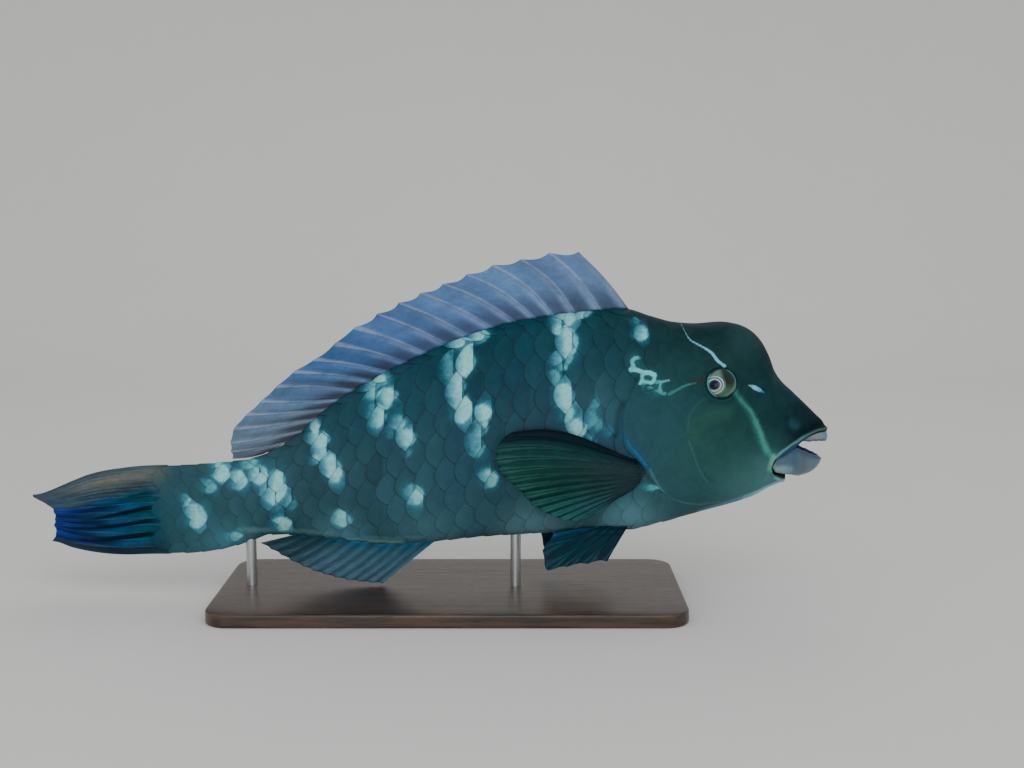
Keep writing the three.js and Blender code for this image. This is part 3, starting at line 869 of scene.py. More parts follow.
@dataclass(frozen=True)
class SkinFinish(Finish):
    """Painted fish skin or scales."""

    outline: float = 0.0
    relief: float = 0.5
    marbling: float = 0.1

    def paint(self, graph: Graph, group: ShaderGroup) -> Paint:
        """Reads the painted markings from the mesh; scales get their dark free margins from it too.

        Args:
            graph: The material's graph.
            group: The fish skin.

        Returns:
            Colour, roughness and relief.
        """
        inputs: dict[str, Any] = {"Tone": graph.read("tone", colour=True), "Pale": graph.read("pale")}
        inputs["Line"] = graph.read("line")
        inputs["Line Color"] = graph.read("line_tone", colour=True)
        inputs["Line Strength"] = graph.read("line_strength")
        inputs["Relief"] = self.relief
        inputs["Marbling"] = self.marbling
        if self.outline:
            edge = graph.rise(graph.read("margin"), self.outline * 0.4, self.outline * 1.3, 1.0, 0.0)
            inputs["Outline"] = graph.times(edge, graph.read("rim"))
            inputs["Outline Color"] = graph.read("ink", colour=True)
        looks = group.use(graph, inputs)
        return Paint(looks["Color"], looks["Roughness"], looks["Height"])


@dataclass(frozen=True)
class FinFinish(Finish):
    """A rayed fin."""

    specular: float = 0.07
    ray: Colour = (0.5, 0.5, 0.5)
    fold: Colour = (0.02, 0.02, 0.02)
    streak: float = 0.4

    def paint(self, graph: Graph, group: ShaderGroup) -> Paint:
        """Builds on the fin's own tones, rays and folds.

        Args:
            graph: The material's graph.
            group: The fin web.

        Returns:
            Colour, roughness and relief.
        """
        tone = graph.read("tone", colour=True)
        inputs = {"Tone": tone, "Ray Color": self.ray, "Fold Color": self.fold, "Streak": self.streak}
        looks = group.use(graph, inputs)
        return Paint(looks["Color"], looks["Roughness"], looks["Height"])


@dataclass(frozen=True)
class BeakFinish(Finish):
    """Fused tooth plates with fine growth ridges."""

    ridge: Colour = srgb(66, 86, 104)
    specular: float = 0.3

    def paint(self, graph: Graph, group: ShaderGroup) -> Paint:
        """Clouds the plates' tones and draws the seams between the fused teeth.

        Args:
            graph: The material's graph.
            group: The soft mottle.

        Returns:
            Colour, roughness and relief.
        """
        across = graph.times(graph.read("across"), 1.2)
        outward = graph.times(graph.read("outward"), 0.3)
        place = graph.node("CombineXYZ", {0: across, 1: outward}).outputs[0]
        plates = graph.node("TexVoronoi", {"Vector": place, "Scale": 0.75}, feature="DISTANCE_TO_EDGE")
        cloud = graph.noise(place, 0.5, 3.0, 0.6)
        tone = graph.read("tone", colour=True)
        clouded = graph.mix(graph.rise(cloud, 0.35, 0.75, 0.0, 0.35), tone, self.ridge)
        spotted = group.use(graph, {"Color": clouded, "Scale": 260.0, "Strength": 0.1})
        seams = graph.rise(plates.outputs["Distance"], 0.0, 0.12)
        groove = graph.times(graph.minus(1.0, seams), 0.14)
        shaded = graph.mix(groove, spotted["Color"], self.ridge)
        return Paint(shaded, graph.scaled(cloud, 0.2, 0.24), seams)


@dataclass(frozen=True)
class EyeFinish(Finish):
    """The painted iris and pupil under a clear gloss; distances are in millimetres."""

    pupil: tuple[float, float] = (-6.2, -1.4)
    iris: tuple[float, float] = (-5.2, -1.4)
    pupil_radius: float = 3.0
    iris_radius: float = 6.5
    disc_radius: float = 10.2
    pupil_tone: Colour = srgb(0, 6, 40)
    edge_tone: Colour = srgb(12, 42, 48)
    # The colour of the painted highlight at the disc's rim.
    glint_tone: Colour = srgb(86, 168, 178)

    def paint(self, graph: Graph, group: ShaderGroup) -> Paint:
        """Paints the disc from the iris inward and then its dark edge with a thin glint, a painted highlight.

        Args:
            graph: The material's graph.
            group: The soft mottle.

        Returns:
            Colour and roughness.
        """
        ahead = graph.read("ahead")
        up = graph.read("up")
        place = graph.node("CombineXYZ", {0: ahead, 1: up}).outputs[0]
        wobble = graph.times(graph.minus(graph.noise(place, 0.35, 2.0), 0.5), 1.4)
        reach = self.reach(graph, ahead, up, self.pupil)
        ring = graph.scaled(wobble, 0.5, self.reach(graph, ahead, up, self.iris))
        rim = self.reach(graph, ahead, up, (0.0, 0.0))
        warm = self.warm_ring(graph, ahead, up, graph.scaled(wobble, 0.3, reach))
        olive = self.olive_ground(graph, ahead, up, wobble, rim)
        painted = graph.mix(graph.rise(ring, self.iris_radius - 0.4, self.iris_radius + 0.7), warm, olive)
        dark = graph.rise(reach, self.pupil_radius - 0.2, self.pupil_radius + 0.3)
        painted = graph.mix(dark, self.pupil_tone, painted)
        edge = graph.rise(rim, self.disc_radius - 0.9, self.disc_radius)
        painted = graph.mix(edge, painted, self.edge_tone)
        # Painted highlight: a thin cyan glint just outside the dark edge, towards the front and the back of
        # the rim.
        away = graph.math("ABSOLUTE", graph.scaled(up, 0.25, ahead))
        starting = graph.rise(rim, self.disc_radius - 0.5, self.disc_radius)
        fading = graph.rise(rim, self.disc_radius + 0.4, self.disc_radius + 0.9, 1.0, 0.0)
        thin = graph.times(starting, fading)
        glint = graph.times(graph.times(thin, graph.rise(away, 5.0, 8.5)), 0.6)
        painted = graph.mix(glint, painted, self.glint_tone)
        spotted = group.use(graph, {"Color": painted, "Scale": 500.0, "Strength": 0.12})
        return Paint(spotted["Color"], graph.rise(spotted["Value"], 0.0, 1.0, 0.18, 0.3))

    def warm_ring(self, graph: Graph, ahead: Any, up: Any, reach: Any) -> NodeSocket:
        """Makes the pale ring round the pupil, silver with a golden front.

        Args:
            graph: The material's graph.
            ahead: The place's distance ahead of the eye's axis.
            up: Its distance above the axis.
            reach: Its uneven distance from the pupil's middle.

        Returns:
            The ring's colour.
        """
        bands = graph.math("SINE", graph.times(reach, 3.3))
        silver = graph.mix(graph.rise(bands, -0.8, 1.0), srgb(44, 78, 100), srgb(164, 190, 180))
        gold = graph.rise(graph.minus(graph.times(ahead, 0.5), up), -0.5, 4.0)
        return graph.mix(graph.times(gold, 0.35), silver, srgb(150, 154, 104))

    def olive_ground(self, graph: Graph, ahead: Any, up: Any, wobble: Any, rim: Any) -> NodeSocket:
        """Makes the olive ground outside the ring, with a lighter crescent and a lighter top.

        Args:
            graph: The material's graph.
            ahead: The place's distance ahead of the eye's axis.
            up: Its distance above the axis.
            wobble: The unevenness of the painting.
            rim: The place's distance from the axis.

        Returns:
            The ground's colour.
        """
        olive = graph.mix(graph.rise(graph.plus(up, wobble), -7.0, 1.0), srgb(58, 96, 80), srgb(16, 38, 30))
        low_front = graph.minus(graph.times(ahead, 0.75), graph.times(up, 0.62))
        crescent = graph.times(graph.rise(low_front, 5.0, 8.4), graph.rise(rim, 7.4, 9.2))
        olive = graph.mix(graph.times(crescent, 0.6), olive, srgb(112, 132, 72))
        above = graph.times(graph.rise(up, 2.6, 5.4), graph.rise(ahead, 1.5, -3.0))
        return graph.mix(graph.times(above, 0.65), olive, srgb(100, 142, 124))

    def reach(self, graph: Graph, ahead: Any, up: Any, middle: tuple[float, float]) -> NodeSocket:
        """Measures how far a place on the eye's disc is from a middle.

        Args:
            graph: The material's graph.
            ahead: The place's distance ahead of the eye's axis.
            up: Its distance above the axis.
            middle: The middle, ahead of and above the axis.

        Returns:
            The distance in millimetres.
        """
        across = graph.minus(ahead, middle[0])
        above = graph.minus(up, middle[1])
        return graph.math("SQRT", graph.scaled(above, above, graph.times(across, across)))


@dataclass(frozen=True)
class WoodFinish(Finish):
    """Dark stained hardwood with grain along the board."""

    dark: Colour = srgb(38, 27, 21)
    light: Colour = srgb(74, 52, 38)
    pore: Colour = srgb(20, 14, 11)

    def paint(self, graph: Graph, group: ShaderGroup) -> Paint:
        """Draws the grain and its open pores.

        Args:
            graph: The material's graph.
            group: The soft mottle.

        Returns:
            Colour, roughness and relief.
        """
        place = graph.node("TexCoord").outputs["Object"]
        stretched = graph.node("Mapping", {"Vector": place, "Scale": (1.6, 22.0, 22.0)}).outputs[0]
        waves = graph.noise(stretched, 9.0, 5.0, 0.62)
        drawn_out = graph.node("Mapping", {"Vector": place, "Scale": (14.0, 420.0, 420.0)}).outputs[0]
        pores = graph.noise(drawn_out, 5.0, 2.0)
        grain = graph.mix(graph.rise(waves, 0.36, 0.64), self.dark, self.light)
        open_pores = graph.rise(pores, 0.58, 0.7)
        lined = graph.mix(graph.times(open_pores, 0.5), grain, self.pore)
        spotted = group.use(graph, {"Color": lined, "Scale": 30.0, "Strength": 0.1})
        return Paint(spotted["Color"], graph.scaled(open_pores, 0.2, 0.32), graph.minus(1.0, open_pores))


@dataclass(frozen=True)
class SteelFinish(Finish):
    """Brushed rod with fine turning marks round it."""

    metallic: float = 1.0
    colour: Colour = srgb(186, 188, 190)

    def paint(self, graph: Graph, group: ShaderGroup) -> Paint:
        """Draws the turning marks.

        Args:
            graph: The material's graph.
            group: The soft mottle.

        Returns:
            Colour, roughness and relief.
        """
        place = graph.node("TexCoord").outputs["Object"]
        drawn_out = graph.node("Mapping", {"Vector": place, "Scale": (1.0, 1.0, 60.0)}).outputs[0]
        marks = graph.noise(drawn_out, 90.0, 3.0, 0.7)
        spotted = group.use(graph, {"Color": self.colour, "Scale": 60.0, "Strength": 0.05})
        return Paint(spotted["Color"], graph.rise(marks, 0.2, 0.8, 0.22, 0.42), marks)


@dataclass(frozen=True)
class FloorFinish(Finish):
    """Plain pale floor."""

    colour: Colour = srgb(214, 214, 212)

    def paint(self, graph: Graph, group: ShaderGroup) -> Paint:
        """Colours the floor almost evenly."""
        spotted = group.use(graph, {"Color": self.colour, "Scale": 3.0, "Strength": 0.015})
        return Paint(spotted["Color"], 0.9)


class Blotch(NamedTuple):
    """A pale, scale-shaped patch: its place, half sizes in millimetres, strength and tilt in degrees."""

    station: float
    height: float
    half_length: float
    half_height: float
    strength: float = 1.0
    tilt: float = 0.0


class Stroke(NamedTuple):
    """A painted line: corners, widths at both ends, colour, strength and the width of its soft edge."""

    line: Pairs
    start_width: float
    end_width: float
    colour: Colour
    strength: float = 1.0
    edge: float = 0.35

    def width(self, share: Array) -> Array:
        """The line's width at shares of its length."""
        return self.start_width + (self.end_width - self.start_width) * share


class Region(NamedTuple):
    """A stretch of the body with one main colour, and how far that reaches."""

    station: float
    height: float
    reach: float
    colour: Colour


@dataclass(frozen=True)
class Markings:
    """The painted colours of the whole fish, alike on both sides."""

    front_bar: tuple[Blotch, ...] = (
        Blotch(200, 215, 7.5, 4.5), Blotch(187, 218, 6.8, 2, 0.9), Blotch(206, 208, 3, 3, 0.9),
        Blotch(198, 200, 6.8, 8.2), Blotch(199, 190, 3.8, 5.2, 0.8), Blotch(207, 188, 4.5, 3.8, 0.5),
        Blotch(202, 182, 3, 2.2, 0.8), Blotch(208, 175, 3.8, 4.5, 0.5), Blotch(202, 162, 7.5, 7.5),
        Blotch(200, 150, 5.2, 6, 0.7), Blotch(193, 138, 7.5, 6), Blotch(180, 158, 4.5, 4.5, 0.42),
        Blotch(177, 141, 6, 3.8, 0.42),
    )
    second_bar: tuple[Blotch, ...] = (
        Blotch(263, 202, 6.8, 3.8), Blotch(277, 196, 9, 3.8, 0.9), Blotch(274, 185, 7.5, 9),
        Blotch(287, 181, 4.5, 8.2, 0.45), Blotch(280, 168, 6.6, 8, 0.75), Blotch(276, 152, 7.5, 9, 0.9),
        Blotch(261, 149, 6.8, 5.2), Blotch(261, 139, 4.5, 6, 0.7), Blotch(266, 126, 6.8, 8.2, 0.5),
        Blotch(256, 101, 6.4, 6, 0.98),
    )
    third_bar: tuple[Blotch, ...] = (
        Blotch(339, 170, 6, 3.8), Blotch(343, 162, 6, 5.2, 0.8), Blotch(331, 160, 7.5, 3.8),
        Blotch(332, 154, 4.5, 3.8, 0.7), Blotch(338, 145, 6, 7.5, 0.8), Blotch(323, 140, 5.2, 5.2, 0.6),
        Blotch(329, 134, 4.5, 4.5, 0.5), Blotch(316, 130, 6.8, 5.2), Blotch(316, 120, 3.8, 3.8, 0.5),
        Blotch(311, 88, 7, 6.8, 1.05),
    )
    fourth_bar: tuple[Blotch, ...] = (
        Blotch(386, 134, 6.8, 3, 1, -35), Blotch(382, 126, 7.5, 5.2), Blotch(382, 117, 6, 4.5, 0.6),
        Blotch(386, 111, 4.5, 3, 0.7), Blotch(372, 105, 6.8, 9), Blotch(366, 67, 7.4, 5.8, 1.05),
    )
    tail_marks: tuple[Blotch, ...] = (
        Blotch(429, 98, 6.8, 6, 0.9), Blotch(416, 89, 7.5, 11.2), Blotch(404, 78, 4.5, 5.2, 0.5),
        Blotch(413, 60, 7.5, 5.2), Blotch(438, 105, 6.8, 3, 0.7), Blotch(446, 93, 7.5, 6, 0.8),
        Blotch(459, 98, 6.8, 5.2), Blotch(464, 104, 4.5, 2.2, 0.8), Blotch(469, 88, 6.8, 4.5, 0.6),
        Blotch(479, 65, 8.2, 8.2, 0.9), Blotch(487, 77, 4.5, 4.5, 0.6), Blotch(452, 49, 8.2, 3.6, 0.85),
    )
    head_marks: tuple[Blotch, ...] = (
        Blotch(145, 206, 5.4, 4.6, 0.95, -25), Blotch(149, 214, 4.2, 3, 0.4),
        Blotch(139, 95, 6.4, 2.4, 0.95, 8), Blotch(171, 137, 5, 4, 0.42), Blotch(183, 146, 5, 6, 0.5),
        Blotch(183, 129, 5, 5, 0.5),
    )
    # Pale belly regions are partly own colour, partly painted light; the dark ones atop the back partly
    # painted shade.
    regions: tuple[Region, ...] = (
        Region(15, 135, 22, srgb(0, 18, 26)), Region(45, 160, 25, srgb(14, 48, 54)),
        Region(52, 205, 24, srgb(0, 22, 26)), Region(85, 218, 22, srgb(0, 22, 24)),
        Region(78, 190, 22, srgb(24, 54, 56)), Region(120, 180, 30, srgb(20, 56, 58)),
        Region(125, 218, 22, srgb(6, 32, 34)), Region(70, 135, 26, srgb(22, 58, 56)),
        Region(92, 122, 24, srgb(38, 76, 72)), Region(135, 150, 26, srgb(38, 76, 84)),
        Region(60, 95, 24, srgb(64, 106, 108)), Region(110, 85, 30, srgb(42, 76, 82)),
        Region(38, 95, 14, srgb(76, 120, 124)), Region(160, 218, 22, srgb(12, 48, 52)),
        Region(180, 195, 40, srgb(18, 62, 72)), Region(260, 185, 45, srgb(14, 54, 68)),
        Region(200, 130, 45, srgb(36, 70, 86)), Region(290, 120, 48, srgb(32, 70, 84)),
        Region(200, 75, 40, srgb(46, 80, 90)), Region(300, 65, 45, srgb(50, 84, 94)),
        Region(350, 150, 36, srgb(26, 64, 76)), Region(380, 85, 42, srgb(40, 72, 82)),
        Region(450, 75, 45, srgb(42, 76, 84)), Region(514, 99, 9, srgb(84, 92, 86)),
        Region(450, 40, 18, srgb(74, 130, 150)), Region(220, 50, 22, srgb(108, 156, 168)),
        Region(300, 44, 22, srgb(96, 144, 156)), Region(370, 46, 18, srgb(96, 150, 168)),
        Region(150, 55, 22, srgb(100, 154, 166)), Region(515, 86, 8, srgb(44, 74, 84)),
        Region(515, 68, 10, srgb(16, 64, 82)), Region(515, 50, 10, srgb(14, 60, 78)),
        Region(514, 37, 8, srgb(20, 46, 60)), Region(486, 70, 16, srgb(36, 78, 90)),
        Region(66, 203, 13, srgb(48, 80, 84)), Region(176, 158, 14, srgb(48, 84, 96)),
    )
    washes: tuple[Stroke, ...] = (
        Stroke(((84, 150), (98, 146), (106, 140), (107, 132)), 9, 9, srgb(42, 84, 66), 0.35),
        Stroke(((109, 171.4), (101, 174)), 4, 5, srgb(48, 38, 32), 0.5),
        Stroke(((45.8, 115), (46.4, 111), (47, 105)), 3, 4.4, srgb(98, 168, 136), 0.85),
        Stroke(((31, 139), (28.5, 137)), 6, 6, srgb(40, 78, 90), 0.45),
        Stroke(((40, 88.5), (52, 82.5), (68, 76), (84, 70.5), (104, 65), (128, 58.5)), 2.2, 3,
            srgb(30, 100, 180), 0.75),
        Stroke(((31, 94), (38, 92), (46, 88.6), (55, 84.4), (64, 80.6)), 2.4, 4, srgb(126, 190, 210), 0.85),
        Stroke(((60, 83), (72, 79), (86, 75), (98, 71)), 4, 3, srgb(84, 140, 162), 0.6),
        Stroke(((150, 188), (147, 181), (139, 177), (133, 170), (134, 165)), 7, 6, srgb(38, 104, 112), 0.4),
        Stroke(((79, 167), (70, 156), (63, 146), (58, 133), (51, 119)), 3.5, 6, srgb(46, 112, 104), 0.5),
        Stroke(((302, 52.4), (330, 50.4), (360, 51), (384, 53.6), (412, 54.6), (444, 55)), 3, 4,
            srgb(92, 136, 142), 0.6),
        Stroke(((322, 46.5), (336, 47), (348, 47.2), (364, 48.4)), 3.2, 2, srgb(132, 182, 186), 0.75),
        # Painted shade: a dark band just behind the gill cover's edge, under its overhang.
        Stroke(((158, 158), (162, 150), (164, 134)), 3, 3, srgb(8, 30, 40), 0.5),
        Stroke(((139, 107), (146, 118), (153, 126), (158, 133)), 4, 5, srgb(34, 84, 114), 0.3),
    )
    strokes: tuple[Stroke, ...] = (
        Stroke(((146.2, 189), (150.4, 188.6), (151.8, 186), (150.8, 183.4), (152.6, 180.3)), 1.8, 3.2,
            srgb(88, 178, 184), 0.9, 0.6),
        Stroke(((153.4, 180.9), (148.2, 180.4), (143.4, 178.9), (139.3, 178.6), (135.9, 177.1)), 2.6, 3.4,
            srgb(112, 200, 202), 0.95, 0.6),
        Stroke(((136, 177.1), (135.9, 174.4), (137.6, 171.6), (141.4, 172.2), (144.6, 172.9), (146.4, 171.2)),
            2.6, 2.2, srgb(104, 192, 196), 0.95, 0.6),
        Stroke(((143.6, 178.8), (144.8, 176.1), (144.4, 173.1)), 2.6, 2.2, srgb(96, 182, 190), 0.9, 0.6),
        Stroke(((134.4, 172), (130, 172.4), (125.2, 173.3)), 2, 1.4, srgb(78, 168, 174), 0.85, 0.6),
        Stroke(((131.4, 171.8), (131.9, 168), (131, 164.8)), 1.8, 2.4, srgb(78, 164, 168), 0.8, 0.6),
        Stroke(((134, 165.6), (130.8, 164.5), (128.2, 163.8)), 2, 2.2, srgb(66, 152, 154), 0.75, 0.7),
        Stroke(((146.2, 171), (142.7, 169.4), (137.9, 167.4), (133.2, 165)), 1.2, 1.6,
            srgb(60, 136, 140), 0.75, 0.5),
        Stroke(((144.6, 169.4), (144, 165.6), (139.7, 164.8)), 1.2, 1.2, srgb(52, 118, 120), 0.5, 0.6),
        Stroke(((125.2, 163.6), (118.8, 166.9), (113.5, 169.6), (105.6, 171.5)), 2.2, 0.8, srgb(50, 128, 118),
            0.75, 0.6),
        Stroke(((113.4, 212), (111, 205.5), (108.6, 201.6), (103.6, 198.6), (98.6, 195.9), (93.5, 192.4),
            (89.4, 187.1), (85, 183)), 0.3, 2.6, srgb(112, 188, 204), 0.95),
        Stroke(((66.8, 168.8), (64.4, 168.2), (61.6, 167)), 0.6, 3.2, srgb(132, 196, 186), 1.0, 0.5),
        Stroke(((62, 167.2), (59.4, 165.8), (57.4, 164.8)), 3.2, 2.4, srgb(104, 178, 212), 1.0, 0.5),
        Stroke(((57.6, 164.9), (56, 164), (54.4, 163)), 2.2, 0.8, srgb(48, 120, 186), 0.9, 0.5),
        Stroke(((80, 166), (76.8, 163), (70.9, 156.8), (64, 149.3), (61, 142)), 0.8, 2.6,
            srgb(64, 142, 126), 0.6, 1.3),
        Stroke(((61.4, 143), (59, 138.5), (56.3, 132.5), (54.2, 125.7), (50.4, 119)), 2.8, 4,
            srgb(76, 154, 146), 0.6, 1.8),
        Stroke(((50.4, 120), (47.4, 114.4)), 3.2, 2.2, srgb(72, 150, 146), 0.6, 1.6),
        Stroke(((111, 130), (108, 123), (104, 112), (100, 104), (96, 98)), 0.7, 0.5,
            srgb(74, 126, 120), 0.4, 0.8),
        Stroke(((156, 130.5), (152.5, 125.4), (146.4, 118.4), (141.6, 112)), 0.8, 1.5,
            srgb(40, 104, 172), 0.65, 1.0),
        Stroke(((139, 109), (133.3, 98.5), (127.3, 90.2), (118.4, 84), (106.6, 79.6), (94.9, 78.6), (83, 80)),
            1.4, 0.6, srgb(84, 140, 150), 0.4, 0.9),
        Stroke(((99.7, 160.2), (106.8, 154.3), (111, 145.5), (111.6, 135.2)), 0.5, 0.9,
            srgb(50, 108, 92), 0.4, 1.0),
    )
    lip: Colour = srgb(104, 152, 146)
    lip_inside: Colour = srgb(26, 60, 92)
    chin_lip: Colour = srgb(118, 182, 188)
    # Painted shade deep inside the open mouth.
    mouth: Colour = srgb(50, 38, 28)
    ink: Colour = srgb(70, 56, 46)
    pale_edge: Colour = srgb(104, 152, 156)
    most_edges: float = 6
    line_room: float = 12

    def paint(self, station: Array, height: Array) -> dict[str, Array]:
        """The tone, the pale blotches and the painted lines of every place."""
        painted = {"tone": self.tone(station, height), "pale": self.pale(station, height)}
        return painted | self.lines(station, height)

    def pale(self, station: Array, height: Array) -> Array:
        """Lays down the pale blotches, each crisp towards the snout and faded towards the tail.

        Args:
            station: The places' stations.
            height: The places' heights.

        Returns:
            How strongly each place belongs to a blotch.
        """
        found = np.zeros(np.shape(station))
        bars = self.front_bar + self.second_bar + self.third_bar + self.fourth_bar
        for mark in bars + self.tail_marks + self.head_marks:
            tilt = math.radians(mark.tilt + 16 * math.sin(mark.station * 1.7 + mark.height))
            along = (station - mark.station) * math.cos(tilt) - (height - mark.height) * math.sin(tilt)
            up = (station - mark.station) * math.sin(tilt) + (height - mark.height) * math.cos(tilt)
            along, up = along / (1.06 * mark.half_length), np.abs(up / (1.16 * mark.half_height))
            snout_side = smooth(-0.2, 0.14, along + 1.1 - 0.7 * up**1.5)
            ends = 1 - smooth(0.86, 1.2, up + 0.12 * np.maximum(along, 0))
            patch = snout_side * ends * (1 - smooth(-1.1, 1.7, along)) ** 0.75 * 1.2
            glow = 0.44 * (1 - smooth(0.5, 2.0, np.hypot(along, up)))
            found = np.maximum(found, mark.strength * np.maximum(patch, glow))
        return found

    def tone(self, station: Array, height: Array) -> Array:
        """The main colour with its soft washes.

        Args:
            station: The places' stations.
            height: The places' heights.

        Returns:
            Linear colours.
        """
        weight = np.zeros(np.shape(station))
        colour = np.zeros((*np.shape(station), 3))
        for region in self.regions:
            near = bell(np.hypot(station - region.station, height - region.height), region.reach) + 1e-7
            weight = weight + near
            colour = colour + near[..., None] * np.array(region.colour)
        colour = colour / weight[..., None]
        for wash in self.washes:
            gap, share = distance_to(wash.line, station, height)
            cover = wash.strength * (1 - smooth(0.1, 1.0, gap / wash.width(share)))
            colour = toward(colour, cover, wash.colour)
        return colour

    def lines(self, station: Array, height: Array) -> dict[str, Array]:
        """The nearest crisp painted line of every place.

        Args:
            station: The places' stations.
            height: The places' heights.

        Returns:
            How far outside the line a place is, in widths of its soft edge, and the line's colour and
            strength.
        """
        outside = np.full(np.shape(station), float(self.most_edges))
        colour = np.zeros((*np.shape(station), 3))
        strength = np.zeros(np.shape(station))
        for stroke in self.strokes:
            smoothed = tuple(map(tuple, Curve(stroke.line, 8).at(np.linspace(0, 1, 4 * len(stroke.line)))))
            low_s, low_h = np.min(smoothed, axis=0) - self.line_room
            high_s, high_h = np.max(smoothed, axis=0) + self.line_room
            near = (station > low_s) & (station < high_s) & (height > low_h) & (height < high_h)
            gap, share = distance_to(smoothed, station[near], height[near])
            signed = (gap - stroke.width(share) / 2) / stroke.edge
            closer = signed < outside[near]
            outside[near] = np.where(closer, signed, outside[near])
            colour[near] = np.where(closer[:, None], stroke.colour, colour[near])
            strength[near] = np.where(closer, stroke.strength, strength[near])
        outside = np.maximum(outside, -self.most_edges)
        return {"line": outside, "line_tone": colour, "line_strength": strength}

    def rim(self, station: Array) -> Array:
        """How plainly the scales' edges show, least beside the head and on the tail stalk."""
        return (0.14 + 0.42 * smooth(172, 235, station)) * (1 - 0.92 * smooth(395, 480, station))


MARKINGS = Markings()


class Roll(NamedTuple):
    """A raised roll beside a line, or a groove where its height is negative."""

    middle: float
    reach: float
    height: float

    def at(self, distance: Array) -> Array:
        """The lift at distances from the line."""
        return bell(distance - self.middle, self.reach) * self.height


@dataclass(frozen=True)
class Mouth:
    """The open mouth, seen from the side, and the lips round it."""

    upper_gum: Profile = Profile(((1.4, 131.6), (2.4, 131.4), (10, 130.8), (16, 129), (24, 124.6),
        (28, 120.8), (34, 117), (42, 113.4), (45.3, 111), (46.3, 106.8)))
    lower_gum: Profile = Profile(((33, 93), (41, 97.2), (45.6, 101), (46.3, 106.2)))
    corner_station: float = 46.3
    corner_height: float = 106.5
    jaw_tip: float = 33
    lip_roll: Roll = Roll(1.2, 1.3, 1.2)
    lip_groove: Roll = Roll(4.6, 1.6, -0.25)
    chin_roll: Roll = Roll(1.3, 1.5, 1.1)
    band: Profile = Profile(((0, 0.6), (16, 0.8), (24, 1.6), (31, 3.4), (38, 2.6), (44, 1), (48, 0.6)))

    def turns(self, station: Array) -> tuple[Array, Array]:
        """The turns of the upper and lower gum lines; ahead of the jaw's tip the lower one is the midline.

        Args:
            station: Distances behind the snout.

        Returns:
            The two turns on the left side.
        """
        spread = 0.3 + np.maximum(0, station - self.corner_station) * 0.35
        behind = station > self.corner_station
        above = np.where(behind, self.corner_height + spread, self.upper_gum.at(station))
        below = np.where(behind, self.corner_height - spread, self.lower_gum.at(station))
        upper = BODY.turn(station, above)
        lower = BODY.turn(station, below)
        even = upper + (0.5 - upper) * 0.45
        jaw = smooth(self.jaw_tip - 4, self.jaw_tip, station)
        return upper, even + (lower - even) * jaw


@dataclass(frozen=True)
class EyeSeat:
    """Where an eye sits in the head, from the same named values as the solids."""

    station: float = 87.2
    height: float = 170.8
    radius: float = 14
    sunk: float = 8.4
    rim_roll: Roll = Roll(12.9, 1.7, 1.9)
    moat: Roll = Roll(17.5, 2.4, -0.35)
    socket_depth: float = 6.5
    socket_floor: float = 8.2
    socket_edge: float = 11.9
    out_of_reach: float = 99

    def look(self, side: Side) -> Array:
        """The direction in which an eye looks, square to the skin."""
        return BODY.facing(self.station, self.height, side)

    def surface(self, side: Side) -> Array:
        """Where an eye's axis meets the body's outer form."""
        reach = float(BODY.flank(self.station, self.height))
        return np.array([SNOUT_X - self.station, side.value * reach, self.height])

    def centre(self, side: Side) -> Array:
        """The middle of the eyeball."""
        return self.surface(side) - self.look(side) * self.sunk

    def distance(self, points: Array, side: Side) -> Array:
        """Measures how far points lie from an eye's axis.

        Args:
            points: The points.
            side: The eye's side.

        Returns:
            Distances; points on the other side are out of reach.
        """
        gap = points - self.surface(side)
        along = gap @ self.look(side)
        aside = np.linalg.norm(gap - along[..., None] * self.look(side), axis=-1)
        return np.where(points[..., 1] * side.value > 0, aside, self.out_of_reach)


EYE = EyeSeat()


